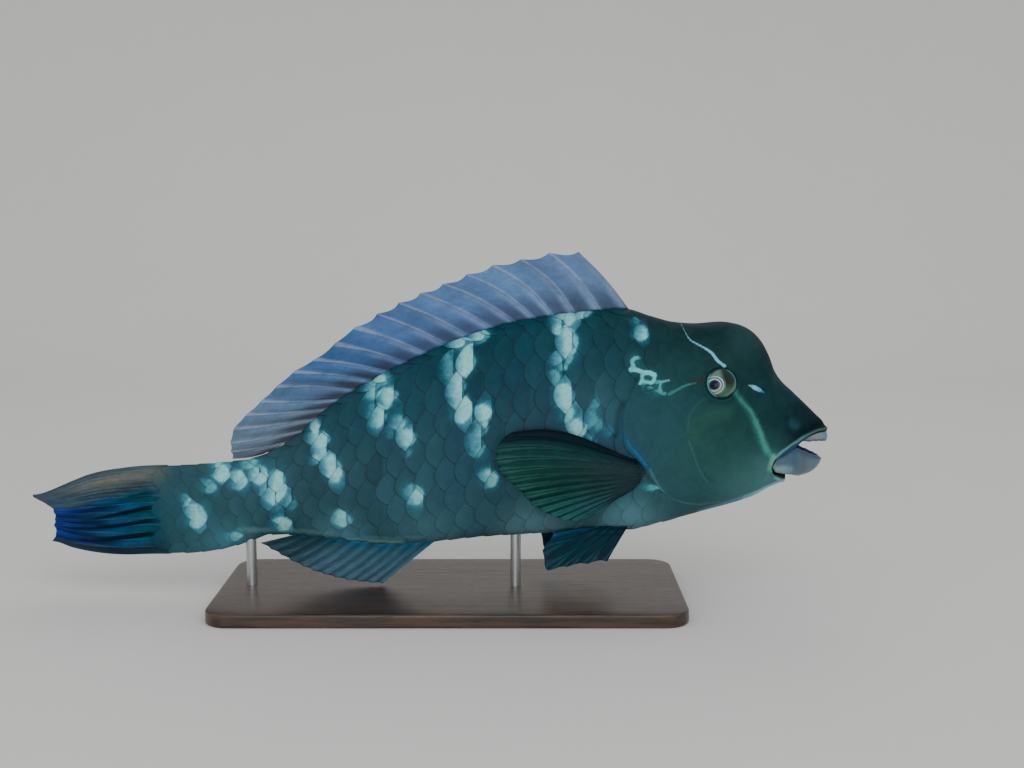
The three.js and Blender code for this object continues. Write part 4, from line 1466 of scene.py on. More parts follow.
@dataclass
class Skin:
    """The one skin over head, jaw, gill covers, trunk and tail stalk."""

    around: int = 280
    mouth: Mouth = field(default_factory=Mouth)
    gill_edge: Profile = Profile(((30, 62), (69, 92), (79, 110), (94, 133), (113, 146), (128, 158.5),
        (147, 159.5), (165, 153), (181, 146), (196, 146), (221, 153), (260, 153)))
    gill_ring: float = 150
    warp_start: float = 46
    warp_end: float = 262
    rings: Pairs = ((1.5, 0.3), (4, 0.8), (46, 0.95), (146.4, 0.4), (153.2, 1.4), (176, 2.6), (505, 2.6))
    knots: tuple[float, ...] = (0, 0.1, 0.24, 0.3, 0.39, 0.5)
    eye_turns: tuple[float, ...] = (0, 0.13, 0.212, 0.278, 0.378, 0.5)
    cheek_fold: Pairs = ((111, 130), (108, 123), (104, 112), (100, 104), (92, 97))
    cheek_groove: Roll = Roll(0, 1.5, -0.5)
    corner_fold: Pairs = ((46, 105), (50.5, 99), (55, 90))
    corner_groove: Roll = Roll(0, 1.6, -0.7)

    def ring_places(self) -> Array:
        """Spaces the rings, closest at the mouth and at the gill edge.

        Returns:
            The rings' nominal stations.
        """
        places = []
        for (start, spacing), (end, _) in zip(self.rings, self.rings[1:]):
            count = max(1, round((end - start) / spacing))
            places.append(np.linspace(start, end, count, endpoint=False))
        return np.concatenate([*places, [self.rings[-1][0]]])

    def gill_station(self, turn: Array) -> Array:
        """Finds the edge of the gill covers by closing in on it.

        Args:
            turn: Turns round the body.

        Returns:
            The stations at which they meet the edge.
        """
        station = np.full(np.shape(turn), self.gill_ring, float)
        for _ in range(40):
            height = BODY.surface(station, turn)[..., 2]
            station = 0.5 * station + 0.5 * self.gill_edge.at(height)
        return station

    def lattice(self) -> tuple[Array, Array, Array]:
        """Places every point of the skin's grid.

        Returns:
            Stations, turns folded to one side, and the distances behind the gill edge.
        """
        nominal = self.ring_places()[:, None]
        folded = np.minimum(np.arange(self.around), self.around - np.arange(self.around)) / self.around
        folded = np.broadcast_to(folded, (len(nominal), self.around))
        before = np.clip((nominal - self.warp_start) / (self.gill_ring - self.warp_start), 0, 1)
        behind = np.clip((self.warp_end - nominal) / (self.warp_end - self.gill_ring), 0, 1)
        edge = self.gill_station(folded[0])
        station = nominal + np.where(nominal < self.gill_ring, before, behind) * (edge - self.gill_ring)
        turn = self.warped(station, folded)
        return station, turn, station - self.gill_station(turn)

    def warped(self, station: Array, folded: Array) -> Array:
        """Gathers the grid's lines at the mouth and at the eye.

        Args:
            station: The grid's stations.
            folded: The even turns of its columns.

        Returns:
            The turns that the columns take.
        """
        upper, lower = self.mouth.turns(station)
        knots = np.array(self.knots)
        gathered = [upper * 0, upper * (knots[1] / knots[3]), upper * (knots[2] / knots[3]), upper, lower]
        at_mouth = np.stack([*gathered, upper * 0 + 0.5], axis=-1)
        at_eye = np.array(self.eye_turns)
        mouth_share = 1 - smooth(44, 70, station)[..., None]
        eye_share = plateau(50, 72, 104, 138, station)[..., None]
        calm = knots * (1 - eye_share) + at_eye * eye_share
        wanted = calm * (1 - mouth_share) + at_mouth * mouth_share
        span = np.clip(np.searchsorted(knots, folded, side="right") - 1, 0, len(knots) - 2)
        low = np.take_along_axis(wanted, span[..., None], -1)[..., 0]
        high = np.take_along_axis(wanted, span[..., None] + 1, -1)[..., 0]
        return low + (high - low) * (folded - knots[span]) / (knots[span + 1] - knots[span])

    def lift(self, station: Array, height: Array, behind: Array, points: Array) -> Array:
        """How far the skin stands off the solids' form: lips, orbits, folds and the gill covers' edge.

        Args:
            station: The grid's stations.
            height: Its heights.
            behind: Distances behind the gill edge.
            points: The outer form's points.

        Returns:
            Lifts in millimetres, negative inward.
        """
        lift = np.full(np.shape(station), -COAT_DEPTH)
        above = height - self.mouth.upper_gum.at(station)
        lip = self.mouth.lip_roll.at(above) + self.mouth.lip_groove.at(above)
        lift = lift + np.where(above > -3, lip, 0) * (1 - smooth(43, 50, station))
        below = self.mouth.lower_gum.at(station) - height
        jaw = plateau(self.mouth.jaw_tip - 0.5, self.mouth.jaw_tip + 1.5, 44, 50, station)
        lift = lift + np.where(below > -2, self.mouth.chin_roll.at(below), 0) * jaw
        gill = plateau(78, 90, 172, 186, height)
        flare = GILL_FLARE * smooth(100, 159.5, station) * np.where(behind < 0, 1, 0)
        rounded = np.where(behind < 0, -0.55 * np.clip(1 + behind / 1.8, 0, 1) ** 2, 0)
        groove = np.where(behind >= 0, -1.0 * np.exp(-np.maximum(0, behind) / 4.5), 0)
        lift = lift + flare * (0.25 + 0.75 * gill) * np.where(gill > 0, 1, 1 - smooth(-30, 0, behind))
        lift = lift + (rounded + groove) * gill
        lift = lift + self.cheek_groove.at(distance_to(self.cheek_fold, station, height)[0])
        corner = self.corner_groove.at(distance_to(self.corner_fold, station, height)[0])
        lift = lift + corner * (1 - smooth(50, 56, station))
        for side in Side:
            away = EYE.distance(points, side)
            lift = lift + EYE.rim_roll.at(away) + EYE.moat.at(away)
            lift = lift - EYE.socket_depth * (1 - smooth(EYE.socket_floor, EYE.socket_edge, away))
        return lift

    def sink_mouth(self, points: Array, station: Array, turn: Array) -> tuple[Array, Array]:
        """Draws the band between the gums inward to make the mouth.

        Args:
            points: The skin's points.
            station: Their stations.
            turn: Their folded turns.

        Returns:
            The moved points, and how deep in the mouth each one is, from 0 to 1.
        """
        upper, lower = self.mouth.turns(station)
        jaw = smooth(self.mouth.jaw_tip - 1.5, self.mouth.jaw_tip + 0.3, station)
        floor = 0.5 + (lower - 0.5) * jaw
        share = (turn - upper) / np.maximum(1e-4, floor - upper)
        within = (share > 0) & (share < 1.0001)
        deep = smooth(0, 0.28, share) * (1 - jaw * smooth(0.72, 1, share))
        deep = np.where(within, deep, 0) * (1 - smooth(42, 46.1, station))
        moved = points.copy()
        moved[..., 1] = points[..., 1] * (1 - 0.55 * deep)
        roof = self.mouth.upper_gum.at(station) - 0.8 + 3.4 * deep
        lifted = points[..., 2] + (roof - points[..., 2]) * np.where(within, 1 - jaw, 0)
        moved[..., 2] = np.where(station < self.mouth.jaw_tip + 1, lifted, points[..., 2])
        moved[..., 0] = points[..., 0] - 5 * deep * (1 - smooth(3, 14, station))
        return moved, deep

    def build(self, material: Material) -> Object:
        """Makes the skin with its colours and its unwrap.

        Args:
            material: The bare skin's finish.

        Returns:
            The skin.
        """
        station, turn, behind = self.lattice()
        sided = np.where(np.arange(self.around) <= self.around // 2, turn, 1 - turn)
        outer = BODY.surface(station, sided)
        height = outer[..., 2]
        lift = self.lift(station, height, behind, outer)
        points = outer + BODY.normal(station, sided) * lift[..., None]
        points, deep = self.sink_mouth(points, station, turn)
        paint = MARKINGS.paint(station, height)
        paint["tone"] = self.painted_lips(paint["tone"], station, height, deep)
        paint["pale"] = paint["pale"] * (1 - 0.4 * smooth(4, 10, behind))
        ends = [points[0].mean(axis=0), points[-1].mean(axis=0)]
        rows = point_rows(paint)
        values = {key: np.concatenate([value, value[:1], value[-1:]]) for key, value in rows.items()}
        faces, corners = self.net(len(station))
        shape = Shape(np.concatenate([points.reshape(-1, 3), ends]), faces, values, corners)
        skin = shape.piece("skin", material)
        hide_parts("head", "lower_jaw", "gill_cover_right", "gill_cover_left", "trunk", "tail_stalk")
        return skin

    def net(self, rows: int) -> tuple[Array, Array]:
        """Joins the grid's points, with a fan of quads that closes the first and the last ring.

        Args:
            rows: How many rings there are.

        Returns:
            The quads, and their corners on the unwrap.
        """
        middle = rows * self.around
        fans = []
        for ring, forward in ((0, True), ((rows - 1) * self.around, False)):
            for j in range(0, self.around, 2):
                three = [ring + j, ring + (j + 1) % self.around, ring + (j + 2) % self.around]
                fans.append([*three, middle] if forward else [*three[::-1], middle + 1])
        fan_corners = np.full((len(fans), 4, 2), 0.002)
        fan_corners[len(fans) // 2:] = 0.998
        faces = grid_faces(rows, self.around, closed=True)
        corners = grid_corners(np.arange(self.around + 1) / self.around, np.linspace(0.01, 0.99, rows))
        return np.concatenate([faces[:, ::-1], fans]), np.concatenate([corners[:, ::-1], fan_corners])

    def painted_lips(self, tone: Array, station: Array, height: Array, deep: Array) -> Array:
        """Adds the pale lip edge, its blue inner band and painted shade deep in the mouth.

        Args:
            tone: The skin's colours.
            station: The places' stations.
            height: Their heights.
            deep: How deep in the mouth they are.

        Returns:
            The new colours.
        """
        above = height - self.mouth.upper_gum.at(station)
        front = 1 - smooth(44, 49, station)
        band = self.mouth.band.at(station)
        edge = bell(above - band - 0.9, 0.9) * front * (0.35 + 0.45 * smooth(16, 30, station))
        tone = toward(tone, edge, MARKINGS.lip)
        below = self.mouth.lower_gum.at(station) - height
        upper = 1 - smooth(-1.6, -0.2, below)
        inner = (1 - smooth(band - 0.7, band + 0.3, above)) * smooth(14, 22, station) * front * upper * 0.9
        tone = toward(tone, inner, MARKINGS.lip_inside)
        chin = bell(below - 1.5, 1.2) * (1 - smooth(40, 46, station)) * 0.75
        tone = toward(tone, chin, MARKINGS.chin_lip)
        # Painted shade: places deep in the mouth turn dark.
        return toward(tone, smooth(0.02, 0.2, deep), MARKINGS.mouth)


@dataclass
class ScaleCoat:
    """The overlapping scales of the flanks, back and belly, as thin closed plates."""

    row_spacing: Profile = Profile(((150, 20), (270, 20), (430, 12.8), (520, 12)))
    pitch: Profile = Profile(((140, 14.5), (350, 14.5), (440, 12.2), (520, 12)))
    reference: Profile = Profile(((130, 152), (220, 141), (300, 120), (380, 92), (450, 74), (520, 68)))
    full_pitch: float = 14.5
    edge_pitch: float = 13.5
    keel_start: float = 118
    ridge_start: float = 160
    first_station: float = 136
    last_station: float = 502
    most_rows: int = 8
    rear_reach: float = 7.25
    rear_curve: float = 9.05
    front_reach: float = 9.2
    front_curve: float = 3.2
    half_height: float = 11
    free_edge: float = 1.5
    start_lift: float = 0.35
    slope: float = 0.06
    thickness: float = 0.25
    cells_along: int = 12
    cells_across: int = 18
    back_room: float = 9.5
    belly_room: float = 7
    stalk_start: float = 440
    ridge_arcs: tuple[float, float] = (3.5, 5)
    ridge_reaches: tuple[float, float] = (6.5, 7.4)
    ridge_size: float = 1.02
    ridge_lift: float = 0.14
    ridge_offset: float = 0.01
    keel_arc: float = 3
    keel_reach: float = 7.5
    keel_lift: float = 0.1
    seed: int = 7

    def centres(self) -> Array:
        """Spaces a row's scales at half steps, so that odd places serve the rows between.

        Returns:
            Stations from the shoulder to the tail.
        """
        places = [self.first_station]
        while places[-1] < self.last_station:
            places.append(places[-1] + float(self.pitch.at(places[-1])) / 2)
        return np.array(places)

    def rows(self) -> tuple[Array, Array, Array]:
        """Lays out the main rows.

        Returns:
            Each scale's station, arc from the back, and row number.
        """
        halves = self.centres()
        spacing = self.row_spacing.at(halves)
        middle = GIRTH.arc(halves, self.reference.at(halves))
        girth = GIRTH.half_girth(halves)
        found = []
        for row in range(-self.most_rows, self.most_rows + 1):
            arc = middle + row * spacing
            fits = (arc > self.back_room) & (arc < girth - self.belly_room)
            fits &= (np.arange(len(halves)) + row) % 2 == 0
            for i in np.flatnonzero(fits):
                found.append((halves[i], arc[i], row))
        return tuple(np.array(found).T)

    def outline(self) -> tuple[Array, Array, Array]:
        """Lays out the grid of one scale, a shield with a rounded free edge behind.

        Returns:
            How far behind the scale's middle each place is, how far across, and how far from the free edge.
        """
        across = np.linspace(-1, 1, self.cells_across + 1)
        rear = self.rear_reach - self.rear_curve * np.abs(across) ** 1.9
        front = self.front_curve * np.abs(across) ** 3 - self.front_reach
        inner = np.maximum(front, rear - self.free_edge)
        lines = [front + (inner - front) * t for t in np.linspace(0, 1, self.cells_along - 2)]
        along = np.stack([*lines, rear - (rear - inner) * 0.45, rear])
        steep = np.gradient(rear, across * self.half_height)
        return along, across, (rear - along) / np.sqrt(1 + steep**2)

    def net(self, side: Side) -> tuple[Array, Array]:
        """Joins one scale's points: its face, the wall round it, and strips that close it below.

        Args:
            side: The side of the fish.

        Returns:
            The quads, and the face's points from which the wall goes down.
        """
        count = self.cells_along * (self.cells_across + 1)
        index = np.arange(count).reshape(self.cells_along, -1)
        rim = rim_of(index)
        onward = np.roll(rim, -1)
        slot = np.full(count, -1)
        slot[rim] = count + np.arange(len(rim))
        wall = np.stack([onward, rim, slot[rim], slot[onward]], axis=1)
        left, right = slot[index[:, 0]], slot[index[:, -1]]
        strips = np.stack([left[:-1], left[1:], right[1:], right[:-1]], axis=1)
        quads = np.concatenate([grid_faces(self.cells_along, self.cells_across + 1), wall, strips])
        return (quads if side is Side.RIGHT else quads[:, ::-1]), rim

    def plates(self, station: Array, arc: Array, reach: Array, size: Array, side: Side,
            raised: float, room: Array) -> Shape:
        """Makes plates of one side, each a curved shield that follows the body.

        Args:
            station: The plates' stations.
            arc: Their arc lengths from the back.
            reach: Their half heights along the arc.
            size: Their lengths as a share of a full one.
            side: The side of the fish.
            raised: An extra lift for rows that lie over others.
            room: Each plate's patch on the unwrap: middle along, middle across, half sizes.

        Returns:
            All plates as one shape.
        """
        rng = np.random.default_rng(self.seed + len(station))
        count = len(station)
        along, across, margin = self.outline()
        length = size[:, None, None] * (1 + rng.normal(0, 0.02, (count, 1, 1)))
        shift = rng.normal(0, 0.35, (count, 1, 1))
        places = station[:, None, None] + along * length + shift
        spacing = self.row_spacing.at(places) / self.row_spacing.at(station)[:, None, None]
        middle = GIRTH.arc(station, self.reference.at(station))
        line_here = GIRTH.arc(places.ravel(), self.reference.at(places.ravel())).reshape(places.shape)
        offset = (arc - middle)[:, None, None] * spacing
        arcs = line_here + offset + across * reach[:, None, None] * spacing
        turn = GIRTH.turn(places, arcs)
        turn = turn if side is Side.LEFT else 1 - turn
        flatter = 1 - 0.45 * smooth(420, 495, places)
        lift = self.start_lift + self.slope * along * length * flatter + raised
        lift = np.minimum(lift, COAT_DEPTH - 0.03) - COAT_DEPTH + 0 * places
        top = BODY.raised(places, turn, lift)
        under = BODY.raised(places, turn, lift - self.thickness)
        fields = self.paint(rng, places, top[..., 2], along, margin)
        quads, rim = self.net(side)
        one = along.size
        total = one + len(rim)
        faces = (quads[None] + (np.arange(count) * total)[:, None, None]).reshape(-1, 4)
        under_rim = under.reshape(count, one, 3)[:, rim]
        points = np.concatenate([top.reshape(count, one, 3), under_rim], axis=1).reshape(-1, 3)
        values = {}
        for key, value in fields.items():
            flat = value.reshape(count, one, -1)
            both = np.concatenate([flat, flat[:, rim]], axis=1).reshape(count * total, -1)
            values[key] = both if value.ndim == 4 else both[:, 0]
        local = np.stack([along / 9.5, across + 0 * along], axis=-1).reshape(one, 2)
        local = np.concatenate([local, local[rim]])
        spots = room[:, None, :2] + local[None] * room[:, None, 2:]
        return Shape(points, faces, values, spots.reshape(-1, 2)[faces])

    def paint(self, rng: np.random.Generator, station: Array, height: Array, along: Array,
            margin: Array) -> dict[str, Array]:
        """Colours the plates: the markings, each scale's own shade, painted overlap shade and its dark or
        pale free edge.

        Args:
            rng: The source of the small differences between scales.
            station: The stations of every plate's places.
            height: Their heights.
            along: How far behind its scale's middle each place is.
            margin: How far it is from the free edge.

        Returns:
            The values that the mesh carries.
        """
        each = (len(station), 1, 1)
        tone = MARKINGS.tone(station, height)
        shade = 1 + rng.normal(0, 0.07, (*each, 1))
        drift = 1 + rng.normal(0, 0.02, (*each, 3))
        quiet = 0.7 * (1 - smooth(80, 110, height)) * (1 - smooth(300, 380, station))
        quiet = np.maximum(quiet, smooth(400, 480, station))
        # Painted shade: each plate darkens towards its front, where the plate before it lies over it; less on
        # the stalk and low front.
        overlap_shade = 0.15 * (1 - smooth(-8, 2, along)) * (1 - 0.8 * quiet)
        tone = tone * shade * drift * (1.02 - overlap_shade)[..., None]
        pale = self.pale(station, height, along)
        faded = 0.6 * quiet * smooth(230, 270, station)
        rim = MARKINGS.rim(station) * rng.uniform(0.6, 1.15, each) * (1 - faded)
        brown = (0.3 + 0.5 * smooth(0.3, 0.8, pale))[..., None]
        ink = tone * 0.4 * (1 - brown) + np.array(MARKINGS.ink) * brown
        low = (1 - smooth(80, 104, height)) * (1 - smooth(190, 240, station))
        ink = toward(ink, low, MARKINGS.pale_edge)
        widths = (margin[None] + 0 * station) / (0.75 + 0.5 * rng.random(each))
        values = {"tone": tone, "ink": ink, "pale": pale, "margin": widths, "rim": rim}
        return values | MARKINGS.lines(station, height)

    def pale(self, station: Array, height: Array, along: Array) -> Array:
        """Draws the blotches together, so that they fill scales and fade towards each free edge.

        Args:
            station: The stations of every plate's places.
            height: Their heights.
            along: How far behind its scale's middle each place is.

        Returns:
            How pale each place is.
        """
        here = MARKINGS.pale(station, height)
        seen = plateau(-8, -4, 4, 8, along)
        total = (here * seen).sum(axis=(1, 2), keepdims=True) / seen.sum()
        filled = 0.36 * smooth(0.1, 0.6, total) * (1.05 - 0.65 * smooth(-4, 6.5, along))
        return np.clip(here * (0.8 + 0.35 * smooth(0.1, 0.5, total)) + filled, 0, 1.3)

    def build(self, material: Material) -> list[Object]:
        """Makes the main rows of each side, and the midline rows.

        Args:
            material: The scales' finish.

        Returns:
            The coat's pieces.
        """
        made = []
        station, arc, row = self.rows()
        reach = 0.75 * self.row_spacing.at(station)
        size = self.pitch.at(station) / self.full_pitch
        half = 0.5 / (len(self.centres()) / 2 + 1)
        along = (station - self.first_station) / (self.last_station - self.first_station)
        room = np.stack([0.03 + along * 0.94, 0.5 + row / 18, half + 0 * row, 0.026 + 0 * row], axis=1)
        for side in Side:
            shape = self.plates(station, arc, reach, size, side, 0.0, room)
            made.append(shape.piece("scales_" + side.name.lower(), material))
        made.append(self.edge_rows(material))
        return made

    def edge_rows(self, material: Material) -> Object:
        """Makes the small row along the foot of the dorsal fin and the one on the keel.

        Args:
            material: The scales' finish.

        Returns:
            Both rows of both sides as one piece.
        """
        parts = []
        for number, side in enumerate(Side):
            station = np.arange(self.ridge_start, self.last_station, self.edge_pitch)
            station = station + number * self.ridge_offset
            arc = np.where(station > self.stalk_start, *self.ridge_arcs)
            reach = np.where(station > self.stalk_start, *self.ridge_reaches)
            size = np.full_like(station, self.ridge_size)
            spots = self.edge_room(station, 0.2 + 0.2 * number)
            parts.append(self.plates(station, arc, reach, size, side, self.ridge_lift, spots))
            station = np.arange(self.keel_start, self.last_station, self.edge_pitch)
            arc = GIRTH.half_girth(station) - self.keel_arc
            reach = np.full_like(station, self.keel_reach)
            spots = self.edge_room(station, 0.6 + 0.2 * number)
            parts.append(self.plates(station, arc, reach, np.ones_like(station), side, self.keel_lift, spots))
        return Shape.joined(parts).piece("scales_midline", material)

    def edge_room(self, station: Array, across: float) -> Array:
        """Patches on the unwrap for a single row."""
        along = 0.03 + (station - 100) / (self.last_station - 100) * 0.94
        return np.stack([along, across + 0 * along, 0.012 + 0 * along, 0.06 + 0 * along], axis=1)


@dataclass
class Web:
    """The grid of places of one fin while it is made: rays are whole numbers of the column value."""

    column: Array
    share: Array
    along: Array
    spot: Array | None = None

    @property
    def within(self) -> Array:
        """How far each place is on its way from one ray to the next."""
        return self.column - np.floor(self.column)


@dataclass
class RayedFin:
    """A fin whose rays stand in its own surface."""

    rays: int = 12
    rows: int = 28
    web_root: float = 0.85
    web_edge: float = 0.3
    ray_root: float = 1.0
    ray_tip: float = 0.22
    ray_width: float = 0.055
    branch_from: float = 0.4
    branch_spread: float = 0.14
    tucked: float = 2.0
    steps: tuple[float, ...] = (0, 0.03, 0.07, 0.12, 0.18, 0.26, 0.34, 0.42, 0.5, 0.58, 0.66, 0.74, 0.82,
        0.88, 0.93, 0.97)

    def grid(self) -> Web:
        """Lays out the fin, with its columns closest beside each ray.

        Returns:
            Column values, shares of the fin's height and shares of its length.
        """
        each = [i + step for i in range(self.rays - 1) for step in self.steps]
        column, share = np.meshgrid([*each, self.rays - 1.0], np.linspace(0, 1, self.rows) ** 0.9)
        return Web(column, share, column / (self.rays - 1))

    def ridge(self, web: Web, branching: float = 1.0) -> Array:
        """Raises the rays, which split twice towards their tips.

        Args:
            web: The fin's grid.
            branching: How plainly they split.

        Returns:
            How much of a ray each place is.
        """
        offset = np.abs(web.column - np.round(web.column))
        branched = self.branched(web) * branching
        split = smooth(self.branch_from, 0.95, web.share) * branched
        first = bell(offset - self.branch_spread * split, self.ray_width + 0.02 * split)
        late = smooth(0.68, 1.0, web.share) * branched
        second = bell(offset - self.branch_spread * 2.2 * late, 0.05) * late
        return np.maximum(first, second)

    def outline(self, web: Web) -> tuple[Array, Array]:
        """Root and edge points of each column, as stations and heights."""
        raise NotImplementedError

    def aside(self, web: Web) -> Array:
        """How far the sheet leans to the fish's left."""
        return np.zeros_like(web.share)

    def bow(self, web: Web) -> Array:
        """How far each column bends forward of its straight line."""
        return np.zeros_like(web.column)

    def depth(self, web: Web) -> Array:
        """How deep the edge is scalloped at each column."""
        return np.full_like(web.column, 1.0)

    def branched(self, web: Web) -> Array:
        """Which rays split; 1 where they do."""
        return np.ones_like(web.column)

    def looks(self, web: Web) -> dict[str, Array]:
        """Tone, ray highlight and dark fold of every place."""
        raise NotImplementedError

    def thickness(self, web: Web) -> Array:
        """Makes the web thin out towards its edge, with the rays raised.

        Args:
            web: The fin's grid.

        Returns:
            Half thicknesses.
        """
        root = self.web_root + (self.web_edge - self.web_root) * np.sqrt(web.share)
        crest = self.ray_root + (self.ray_tip - self.ray_root) * web.share
        return root + crest * self.ridge(web)

    def side_view(self, web: Web) -> tuple[Array, Array]:
        """Stretches the columns between root and edge, bowed and scalloped.

        Args:
            web: The fin's grid.

        Returns:
            Places as stations and heights, and distances from the root.
        """
        root, tip = self.outline(web)
        length = np.linalg.norm(tip - root, axis=-1)
        notch = self.depth(web) * np.sin(math.pi * web.within) / length
        way = (tip - root) / length[..., None]
        sideways = np.stack([-np.abs(way[..., 1]), way[..., 0] * np.sign(way[..., 1])], axis=-1)
        start = root - way * self.tucked
        spot = start + (tip - start) * (web.share * (1 - notch * web.share))[..., None]
        spot = spot + sideways * (self.bow(web) * np.sin(math.pi * web.share))[..., None]
        return spot, web.share * length

    def place(self, web: Web, thick: Array) -> Array:
        """Keeps the fin upright on the fish's midline, but for its lean.

        Args:
            web: The fin's grid with its side view.
            thick: Half the sheet's thickness; not used here.

        Returns:
            Points of the sheet's middle.
        """
        station = web.spot[..., 0]
        return np.stack([SNOUT_X - station, self.aside(web) + BODY.sway(station), web.spot[..., 1]], axis=-1)

    def shape(self) -> Shape:
        """Makes the sheet, thickened to both sides of its middle.

        Returns:
            The closed shape.
        """
        web = self.grid()
        web.spot, outward = self.side_view(web)
        thick = self.thickness(web)
        middle = self.place(web, thick)
        offset = np.stack([0 * thick, thick, 0 * thick], axis=-1)
        values = {**self.looks(web), "across": web.column * 1.0, "outward": outward}
        return two_faced(middle - offset, middle + offset, values)


def blend_colours(stops: Stops, value: Array) -> Array:
    """Runs evenly through colours.

    Args:
        stops: Positions and their colours.
        value: Where to read.

    Returns:
        Linear colours.
    """
    where = [stop[0] for stop in stops]
    return np.stack([np.interp(value, where, [stop[1][i] for stop in stops]) for i in range(3)], axis=-1)


@dataclass
class DorsalFin(RayedFin):
    """The long fin along the back, with nine spines and eleven soft rays."""

    rays: int = 20
    rows: int = 30
    spines: int = 9
    branch_spread: float = 0.09
    roots: Profile = Profile(((0, 153.2), (2, 193), (5, 238), (8, 289), (11, 333), (14, 369), (18, 409),
        (19, 429)))
    tips: Profile = Profile(((0, 0), (4, 0.264), (8, 0.491), (12, 0.729), (15, 0.88), (17, 0.961), (19, 1)))
    bows: Profile = Profile(((0, 1.8), (2, 4.2), (4, 3.5), (7, 1.5), (19, 1)))
    edge: Curve = Curve(((189.3, 264.2), (211, 263.4), (231, 259), (252, 254.8), (290, 240.5),
        (324.6, 225.6), (355, 208.7), (383.8, 185.8), (402.7, 174.4), (428.6, 151.5), (449.3, 130.4),
        (452, 118), (450.7, 107.7)))
    lean: float = 2.5
    pleat: float = 0.5

    def outline(self, web: Web) -> tuple[Array, Array]:
        """Sets the root just above the back.

        Args:
            web: The fin's grid.

        Returns:
            Root and edge points, as stations and heights.
        """
        station = self.roots.at(web.column)
        root = np.stack([station, BODY.back.at(station) + 0.4], axis=-1)
        return root, self.edge.at(self.tips.at(web.column))

    def aside(self, web: Web) -> Array:
        """Leans the fin as the solids do, with shallow pleats between its rays.

        Args:
            web: The fin's grid.

        Returns:
            How far each place lies to the left.
        """
        lean = self.lean * web.share**2 * np.sin(math.pi * np.minimum(1, web.along * 1.2))
        return lean + self.pleat * web.share * (1 - web.share * 0.5) * np.sin(2 * math.pi * web.column)

    def bow(self, web: Web) -> Array:
        """Rays curve backward towards their tips, most near the front."""
        return self.bows.at(web.column)

    def depth(self, web: Web) -> Array:
        """Spines' webs are cut deeper than the soft rays'."""
        return np.where(web.column < self.spines, 3.0, 1.0)

    def branched(self, web: Web) -> Array:
        """Only the soft rays split."""
        return np.where(web.column < self.spines - 0.5, 0.0, 1.0)

    def looks(self, web: Web) -> dict[str, Array]:
        """Lavender blue in front, steel blue in the middle and grey behind, with dark zones at the foot.

        Args:
            web: The fin's grid.

        Returns:
            Tones, ray highlights and dark folds.
        """
        column, share, within = web.column, web.share, web.within
        stops = ((0, srgb(86, 114, 152)), (3, srgb(86, 120, 164)), (8, srgb(70, 104, 154)),
            (11, srgb(50, 92, 142)), (13, srgb(70, 106, 146)), (16, srgb(94, 120, 144)),
            (19, srgb(82, 98, 114)))
        tone = blend_colours(stops, column)
        foot = (1 - smooth(0.12, 0.5, share)) * smooth(0.15, 0.5, within) * (1 - 0.4 * smooth(0.8, 1, within))
        rear = smooth(9, 13, column) * (0.35 + 0.5 * np.sin(column * 7.1) ** 2) * smooth(0.25, 0.7, within)
        fold = np.clip(0.6 * foot + 0.72 * rear * (1 - share) ** 0.6, 0, 0.85)
        tone = tone * (0.93 + 0.12 * np.sin(column * 2.3))[..., None]
        ray = 0.4 * self.ridge(web, 0.5) * (0.45 + 0.55 * share) * smooth(-0.2, 0.3, share)
        bright = bell(within - 0.16, 0.16) * (1 - share) * 0.22
        return {"tone": tone, "ray": np.clip(ray + bright, 0, 1), "fold": fold}


@dataclass
class AnalFin(RayedFin):
    """The fin under the belly."""

    rays: int = 12
    rows: int = 22
    edge: Curve = Curve(((338, 11.2), (350, 12), (368, 14.5), (388, 20), (405, 27.5), (419, 35.5),
        (431, 42.5)))
    start: float = 298
    end: float = 406
    pleat: float = 0.4
    brightness: float = 1.35
    rear_tone: Colour = srgb(16, 44, 46)

    def outline(self, web: Web) -> tuple[Array, Array]:
        """Sets the root just below the keel.

        Args:
            web: The fin's grid.

        Returns:
            Root and edge points, as stations and heights.
        """
        station = self.start + (self.end - self.start) * web.along
        root = np.stack([station, BODY.belly.at(station) - 0.4], axis=-1)
        return root, self.edge.at(web.along)

    def aside(self, web: Web) -> Array:
        """Shallow pleats between the rays."""
        return self.pleat * web.share * np.sin(2 * math.pi * web.column)

    def bow(self, web: Web) -> Array:
        """Rays curve backward a little."""
        return 1.2 * plateau(0, 2, 9, 11, web.column)

    def looks(self, web: Web) -> dict[str, Array]:
        """Bright blue at the foot, slate further out.

        Args:
            web: The fin's grid.

        Returns:
            Tones, ray highlights and dark folds.
        """
        stops = ((0, srgb(38, 108, 144)), (0.09, srgb(34, 84, 106)), (0.3, srgb(52, 86, 102)),
            (1, srgb(56, 80, 98)))
        tone = self.brightness * blend_colours(stops, web.share + 0.05 * np.sin(web.column * 3))
        tone = toward(tone, 0.7 * smooth(6, 9, web.column), self.rear_tone)
        fade = 1 - 0.5 * web.share
        fold = 0.45 * plateau(0.3, 0.6, 0.75, 0.95, web.within) * fade
        return {"tone": tone, "ray": 0.45 * self.ridge(web) * fade, "fold": fold}


